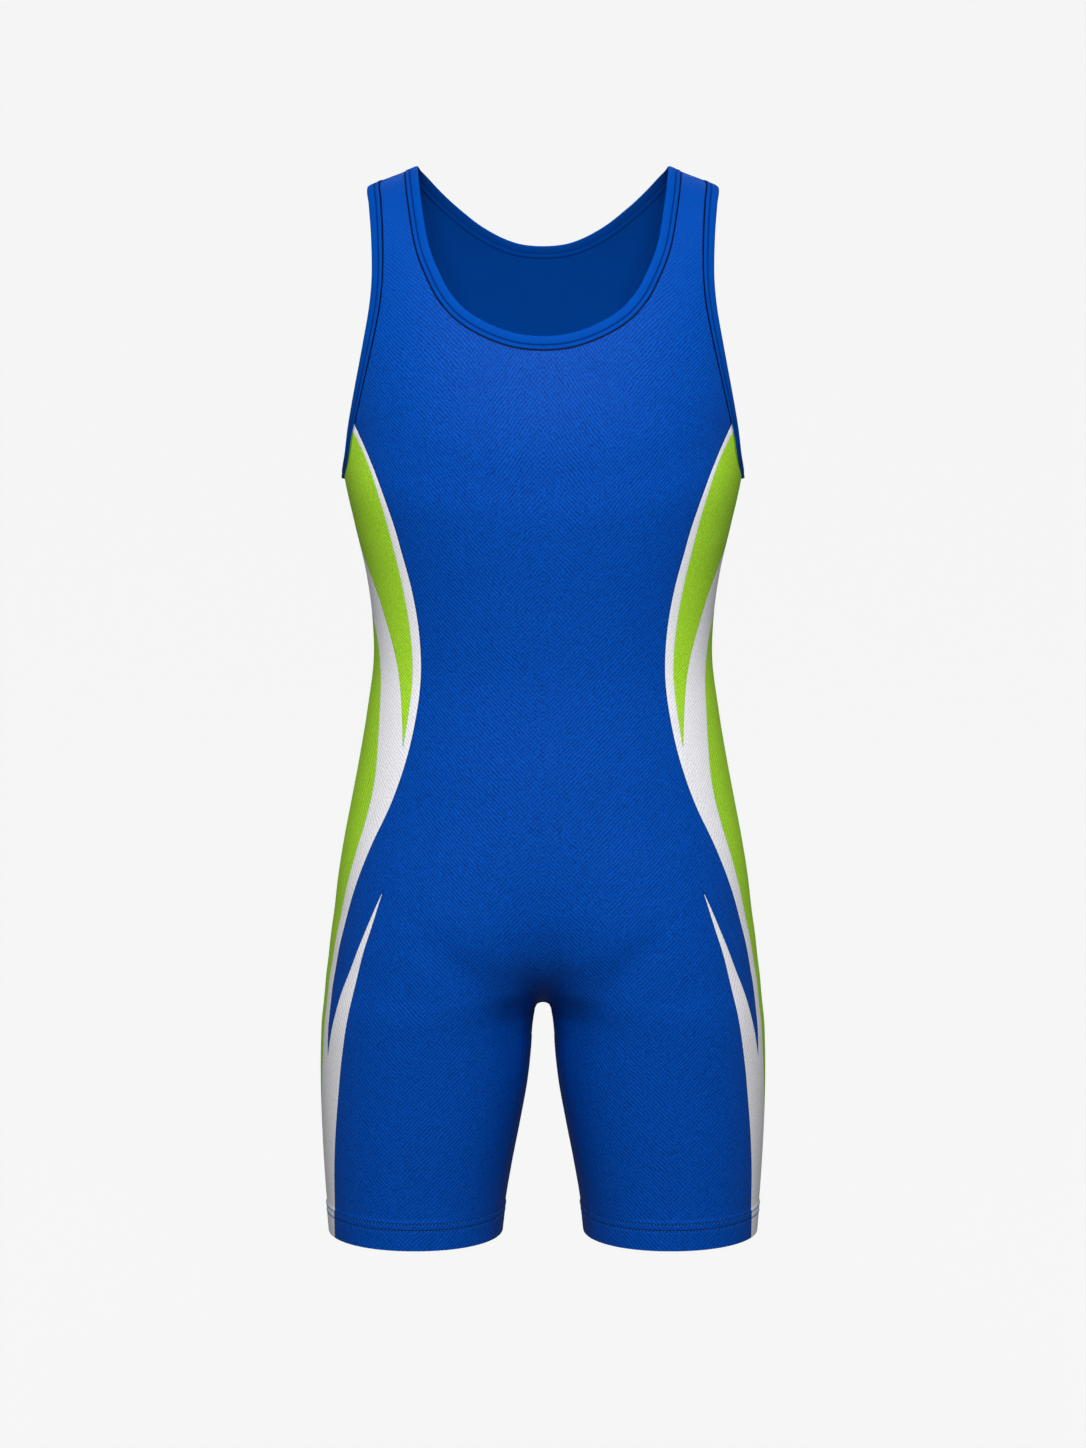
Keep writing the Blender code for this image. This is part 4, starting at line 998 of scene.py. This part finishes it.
def white_grids(behind):
    """Half a side panel as three grids: the strip beside the blue, the wedge, the thigh's spike."""
    spike = SPIKE_BACK if behind else SPIKE_FRONT
    tip = spike[0][0]

    def blue_side(z):
        return smooth(WHITE_EDGE, z) if z <= WEDGE_TIP else gap_from(WHITE_EDGE)(z)

    def spindle_side(z):
        return gap_from(SPINDLE, 1, -1)(z) if SPINDLE_END < z < SPINDLE_TOP else 90.0

    def shared(z):
        """Below the lime point the strip and the wedge run on as one band, split along this line."""
        if z == LIME_TIP:
            return smooth(LIME_INNER, z)
        drop = STRIP_SHARE - STRIP_SHARE_AT_TIP
        share = STRIP_SHARE - drop * max(0.0, 1.0 - (LIME_TIP - z) / SHARE_FADE)
        return blue_side(z) + (spindle_side(z) - blue_side(z)) * share

    def strip_end(z):
        return shared(z) if z <= LIME_TIP else gap_from(LIME_OUTER, 1, -1)(z)

    def wedge_start(z):
        return shared(z) if z <= LIME_TIP else gap_from(LIME_INNER)(z)

    every = rows_between(LEVELS[0], WHITE_APEX)
    strip = list(band(blue_side, strip_end, 3, every, behind))
    wedge = list(band(wedge_start, spindle_side, 6, every[:-1], behind))
    wedge.append(np.tile(body_point(90.0, WHITE_APEX - BLUNT_BACK, behind), (7, 1)))
    thigh = band(
        gap_from(spike, 1),
        lambda z: blue_side(z) if z <= WEDGE_TIP else gap_from(spike, 2, -1)(z),
        4,
        rows_between(LEVELS[0], tip),
        behind,
        ((tip, -TIP_BACK),),
    )
    inwards = -SEAM_GAP / 2 if behind else SEAM_GAP / 2
    place, lime_place = (back_corner, back_lime) if behind else (front_corner, front_lime)
    corner = moved(place, arm_seam, inwards)
    end = at(arm_seam, moved(lime_place, arm_seam, -inwards))
    rise = at(arm_seam, place)[2] - WHITE_APEX
    for share in divided(SIDE_ROWS)[1:] / SIDE_ROWS:
        height = WHITE_APEX + rise * share
        outer = WHITE_APEX + (end[2] - WHITE_APEX) * share
        first = beside(corner_edge(WHITE_EDGE, place, height, share), height, SEAM_GAP / 2)
        last = beside(corner_edge(LIME_OUTER, lime_place, outer, share), outer, -SEAM_GAP / 2)
        spread = np.linspace(0, 1, 4)
        strip.append(body_point(first + (last - first) * spread, height + (outer - height) * spread, behind))
    strip[-1] = at(arm_seam, corner) + (end - at(arm_seam, corner)) * np.linspace(0, 1, 4)[:, None]
    return [(np.array(strip), behind), (np.array(wedge), behind), (thigh, behind)]


# Near-white ribs with faint grey painted shade between them, and cool grey painted shade along the
# seam lines. The reverse is darker, partly as painted shade for the inside.
white_face = knit("white_warp_knit", colour("cfcfd6"), colour("fafafd"), colour("a8b0c0"), 0.4, 0.08)
white_inside = reverse("white_knit_reverse", colour("c8c8ce"))
for word, side in SIDES:
    piece = cloth("side_panel_cloth_" + word, white_grids(False) + white_grids(True),
                  (white_face, white_inside), side=side)
    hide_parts("side_panel_" + word)

# ---------------------------------------------------------------------------- upper lime inserts
# Lime knit under each armhole, tapering down round the waist to a point in front and behind.
# Overlocked to the white panel, and bound with it at the armhole.


def lime_grids(behind):
    """Half an upper insert, from its point up to the armhole."""

    def inner(z):
        return 90.0 if z >= WHITE_APEX else gap_from(LIME_INNER, 1, -1)(z)

    rows = rows_between(LIME_TIP, WHITE_APEX)
    grid = list(band(gap_from(LIME_OUTER), inner, 12, rows, behind, ((LIME_TIP, TIP_BACK),)))
    inwards = -SEAM_GAP / 2 if behind else SEAM_GAP / 2
    place = back_lime if behind else front_lime
    top = at(arm_seam, sample(arm_seam, moved(place, arm_seam, inwards), armpit_place, 12))
    spread = angle_of(top[:, 0], top[:, 2])
    spread = (spread - spread[0]) / (spread[-1] - spread[0])
    for share in divided(SIDE_ROWS)[1:] / SIDE_ROWS:
        heights = WHITE_APEX + (top[:, 2] - WHITE_APEX) * share
        first = beside(corner_edge(LIME_OUTER, place, heights[0], share), heights[0], SEAM_GAP / 2)
        mix = np.linspace(0, 1, 13) * (1 - share) + spread * share
        grid.append(body_point(first + (90.0 - first) * mix, heights, behind))
    grid[-1] = top
    return [(np.array(grid), behind)]


# Yellow-green ribs with a painted highlight on their crests, and painted shade along the seam lines,
# only a little darker. The reverse is darker, partly as painted shade for the inside.
lime_face = knit("lime_warp_knit", colour("7cb60a"), colour("bcf044"), colour("6c9c10"), 0.4, 0.08)
lime_inside = reverse("lime_knit_reverse", colour("7cb01a"))
for word, side in SIDES:
    piece = cloth("lime_insert_upper_cloth_" + word, lime_grids(False) + lime_grids(True),
                  (lime_face, lime_inside), side=side)
    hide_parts("lime_insert_upper_" + word)

# ---------------------------------------------------------------------------- lower lime inserts
# The same lime knit, a spindle down each side from the waist to above the hem, pointed at both
# ends and overlocked into the white panel.


def spindle_grids(behind):
    """Half a lower insert, as far as the side line."""
    rows = rows_between(SPINDLE_END, SPINDLE_TOP)
    grid = band(gap_from(SPINDLE), lambda z: 90.0, 6, rows, behind)
    grid[0] = body_point(90.0, SPINDLE_END + BLUNT_BACK, behind)
    grid[-1] = body_point(90.0, SPINDLE_TOP - BLUNT_BACK, behind)
    return [(grid, behind)]


for word, side in SIDES:
    piece = cloth("lime_insert_lower_cloth_" + word, spindle_grids(False) + spindle_grids(True),
                  (lime_face, lime_inside), side=side)
    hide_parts("lime_insert_lower_" + word)

# ---------------------------------------------------------------------------- bindings
# Smooth blue knit strips folded round the neck and armhole edges and top-stitched 3 mm from the
# seam, which draws a groove along them. The rounded fold stands a little proud of the cloth.
# Millimetres: distance from the seam side, height above the middle of the strip.
BINDING_SECTION = ((0.3, 0.0), (0.3, 0.72), (-0.5, 0.76), (-0.62, 0.95), (-0.3, 1.18), (0.6, 1.32),
                   (1.8, 1.34), (2.5, 1.2), (3.0, 0.8), (3.5, 1.2), (4.3, 1.3), (6.2, 1.34),
                   (8.0, 1.3), (9.2, 1.02), (9.75, 0.58), (10.0, 0.0))
STITCH_COLUMN = 8
SEAM_COLUMN = 2
COLUMN_STEP = 0.8
THREAD_LIFT = 0.05
NECK_STEPS = 170
ARM_STEPS = 300


def binding_knit():
    """A smooth circular knit, dense and matt satin: an even blue, with painted shade in the groove.

    Its ribs lie across the strip and are drawn 1.2 mm apart; clouds about 17 mm wide vary them."""
    material, tree, surface = blank("royal_blue_smooth_binding_knit", 0.7, 0.04)
    place = add(tree, "UVMap", uv_map="cut").outputs["UV"]
    place = add(tree, "VectorMath", {0: place, "Scale": 1000.0}, operation="SCALE").outputs[0]
    ribs = add(tree, "TexWave", {"Vector": place, "Scale": 0.26, "Distortion": 1.2, "Detail": 1.0,
                                 "Detail Scale": 2.0}).outputs["Fac"]
    cloud = add(tree, "TexNoise", {"Vector": place, "Scale": 0.06, "Detail": 3.0}).outputs["Fac"]
    share = add(tree, "Math", {0: ribs, 1: cloud}, operation="MULTIPLY").outputs[0]
    tint = add(tree, "Mix", {"Factor": share, "A": colour("003c92"), "B": colour("0050b0")},
               data_type="RGBA").outputs["Result"]
    # Painted shade in the stitch groove and along the tucked edge at the seam side.
    groove = add(tree, "Attribute", attribute_name="groove").outputs["Fac"]
    tint = add(tree, "Mix", {"Factor": groove, "A": tint, "B": colour("001444")},
               data_type="RGBA").outputs["Result"]
    tree.links.new(tint, surface["Base Color"])
    bump = add(tree, "Bump", {"Height": share, "Strength": 0.3, "Distance": 0.2 * MM})
    tree.links.new(bump.outputs[0], surface["Normal"])
    return material


binding_face = binding_knit()


def binding(name, seam, edge, places, closed, side=1):
    """A strip swept along an opening: its section stands on the line from the seam to the edge."""
    section = list(BINDING_SECTION) + [(w, -h) for w, h in BINDING_SECTION[-2:0:-1]]
    low, high = at(seam, places), at(edge, places)
    across = high - low
    across = across / np.linalg.norm(across, axis=1)[:, None]
    along = np.gradient(low, axis=0)
    if closed:
        along[0] = along[-1] = low[1] - low[-2]
    out = np.cross(across, along)
    out /= np.linalg.norm(out, axis=1)[:, None]
    if (out * body_normal(low)).sum(axis=1).mean() < 0:
        out = -out
    rings = np.stack([low + across * w + out * h for w, h in section], axis=1)
    shape = bmesh.new()
    cut = shape.loops.layers.uv.new("cut")
    groove = shape.verts.layers.float.new("groove")
    rows, columns = len(places) - 1, len(section)
    run = lengths(low)
    lines = [c % columns for line in (STITCH_COLUMN, SEAM_COLUMN) for c in (line, -line)]
    for vertex, row, column in laid_out(shape, rows, columns):
        vertex.co = rings[row, column % columns] * (side * MM, MM, MM)
        for face in vertex.link_faces:
            # Faces of the inner half take the darker reverse knit, as painted shade inside the garment.
            face.material_index = max(face.material_index, int(column > columns / 2 + 1))
        for loop in vertex.link_loops:
            loop[cut].uv = (run[row] * MM, column * COLUMN_STEP * MM)
        away = min(abs(column % columns - c) for c in lines)
        vertex[groove] = (1.0, 0.5, 0.0)[min(away, 2)]
    bmesh.ops.remove_doubles(shape, verts=shape.verts, dist=JOIN * MM)
    bmesh.ops.recalc_face_normals(shape, faces=shape.faces)
    for face in shape.faces:
        face.smooth = True
    mesh = bpy.data.meshes.new(name)
    shape.to_mesh(mesh)
    shape.free()
    piece = piece_of(name, mesh, (binding_face, blue_inside))
    if not closed:
        mirror = piece.modifiers.new("Mirror", "MIRROR")
        mirror.merge_threshold = MERGE
    w, h = BINDING_SECTION[STITCH_COLUMN]
    rows = [(low + across * w + out * (h + THREAD_LIFT) * face, out * face) for face in (1, -1)]
    return piece, [(path * (side, 1, 1), up * (side, 1, 1)) for path, up in rows]


neck_places = sample(neck_seam, 0, neck_end_place, NECK_STEPS)
neck_binding, neck_rows = binding("neck_binding_strip", neck_seam, neck_edge, neck_places, False)
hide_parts("neck_binding")
arm_places = sample(arm_seam, 0, closing_place, ARM_STEPS)
arm_strips, arm_rows = [], []
for word, side in SIDES:
    piece, made = binding("armhole_binding_strip_" + word, arm_seam, arm_edge, arm_places, True, side)
    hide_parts("armhole_binding_" + word)
    arm_strips.append(piece)
    arm_rows.append(made)

# ---------------------------------------------------------------------------- stitching
# Blue polyester thread. One row of lockstitch holds each folded binding, 3 mm from its seam, and a
# twin needle with a looper underneath holds each turned-up hem. Millimetres; the looper's pitch is
# longer than one leg of its zigzag, so that each leg is a single length of thread.
STITCH_PITCH = 2.8
STITCH_LENGTH = 2.1
THREAD_RADIUS = 0.3
HEM_LIFT = 0.02
LOOPER_RADIUS = 0.2
LOOPER_LENGTH = 5.6
LOOPER_PITCH = 9.0
LOOPER_LIFT = 0.15


def thread(name, face):
    """Spun polyester thread, matt: its plies give fine lighter and darker spots, drawn 1.1 mm long."""
    material, tree, surface = blank(name, 0.6, 0.06)
    place = add(tree, "TexCoord").outputs["Object"]
    ply = add(tree, "TexNoise", {"Vector": place, "Scale": 900.0, "Detail": 1.0}).outputs["Fac"]
    dim = tuple(0.7 * c for c in face[:3]) + (1.0,)
    tint = add(tree, "Mix", {"Factor": ply, "A": dim, "B": face}, data_type="RGBA").outputs["Result"]
    tree.links.new(tint, surface["Base Color"])
    return material


def stitches(name, rows, finish, radius=THREAD_RADIUS, length=STITCH_LENGTH, pitch=STITCH_PITCH):
    """Rows of stitches in one mesh: a small rounded length of thread, repeated along each path."""
    one = bmesh.new()
    bmesh.ops.create_uvsphere(one, u_segments=6, v_segments=4, radius=1.0)
    knob = np.array([v.co for v in one.verts])
    corners = [[v.index for v in face.verts] for face in one.faces]
    one.free()
    spots = []
    for path, up in rows:
        run = lengths(path)
        count = max(1, round(run[-1] / pitch))
        middles = (np.arange(count) + 0.5) * run[-1] / count
        start, end = (picked(path, run, middles + step) for step in (-0.2, 0.2))
        ahead = end - start
        ahead /= np.linalg.norm(ahead, axis=1)[:, None]
        beside_it = np.cross(ahead, picked(up, run, middles))
        beside_it /= np.linalg.norm(beside_it, axis=1)[:, None]
        above = np.cross(beside_it, ahead)
        centre = (start + end) / 2
        spots.append(
            centre[:, None]
            + knob[None, :, :1] * radius * beside_it[:, None]
            + knob[None, :, 1:2] * radius * above[:, None]
            + knob[None, :, 2:] * length / 2 * ahead[:, None]
        )
    spots = np.concatenate(spots)
    faces = [[k * len(knob) + c for c in corner] for k in range(len(spots)) for corner in corners]
    mesh = bpy.data.meshes.new(name)
    mesh.from_pydata((spots.reshape(-1, 3) * MM).tolist(), [], faces)
    mesh.polygons.foreach_set("use_smooth", [True] * len(mesh.polygons))
    return piece_of(name, mesh, (finish,))


def leg_ring(height, lift):
    """The cloth round one leg at a height, moved out, and its outward directions."""
    start = float(angle_of(inseam_x(height), height))
    outer = on_body(np.linspace(start, 180 - start, 181), height)
    turn = np.linspace(GUSSET_TURN, -GUSSET_TURN, 17)[1:-1]
    rise = (1 - np.cos(turn)) / (1 - math.cos(GUSSET_TURN))
    middle, seam = inner_edge_x(height), outer[0, 0]
    inner = np.stack([
        middle + (seam - middle) * rise,
        np.sin(turn) / math.sin(GUSSET_TURN) * np.where(turn > 0, outer[-1, 1], -outer[0, 1]),
        np.full(15, height),
    ], axis=-1)
    ring = np.vstack([outer, inner, outer[:1]])
    along = np.roll(ring[:-1], -1, axis=0) - np.roll(ring[:-1], 1, axis=0)
    along = np.vstack([along, along[:1]])
    out = np.stack([along[:, 1], -along[:, 0], 0 * along[:, 0]], axis=-1)
    out /= np.linalg.norm(out, axis=1)[:, None]
    return ring + out * lift, out


dark_thread = thread("royal_blue_binding_thread", colour("0038a0"))
hem_thread = thread("royal_blue_hem_thread", colour("2c6ccc"))
both_sides = [(path * (s, 1, 1), up * (s, 1, 1)) for path, up in neck_rows for s in (1, -1)]
neck_stitches = stitches("neck_binding_stitches", both_sides, dark_thread)
arm_stitches = [
    stitches("armhole_binding_stitches_" + word, made, dark_thread)
    for (word, side), made in zip(SIDES, arm_rows)
]
for word, side in SIDES:
    rows = []
    for height in HEM_ROWS:
        path, out = leg_ring(height, HEM_WALL / 2 + HEM_LIFT)
        rows.append((path * (side, 1, 1), out * (side, 1, 1)))
    inside, out = leg_ring(sum(HEM_ROWS) / 2, -HEM_WALL / 2 - LOOPER_LIFT)
    run = lengths(inside)
    count = 2 * round(run[-1] / STITCH_PITCH)
    ahead = np.linspace(0, run[-1], count + 1)
    zigzag = picked(inside, run, ahead)
    zigzag[:, 2] += np.where(np.arange(count + 1) % 2, 1, -1) * (HEM_ROWS[1] - HEM_ROWS[0]) / 2
    normal = -picked(out, run, ahead)
    rows += [(zigzag[k : k + 2] * (side, 1, 1), normal[k : k + 2] * (side, 1, 1)) for k in range(count)]
    stitches("hem_stitches_" + word, rows[:2], hem_thread)
    stitches("hem_looper_threads_" + word, rows[2:], hem_thread,
                                 LOOPER_RADIUS, LOOPER_LENGTH, LOOPER_PITCH)
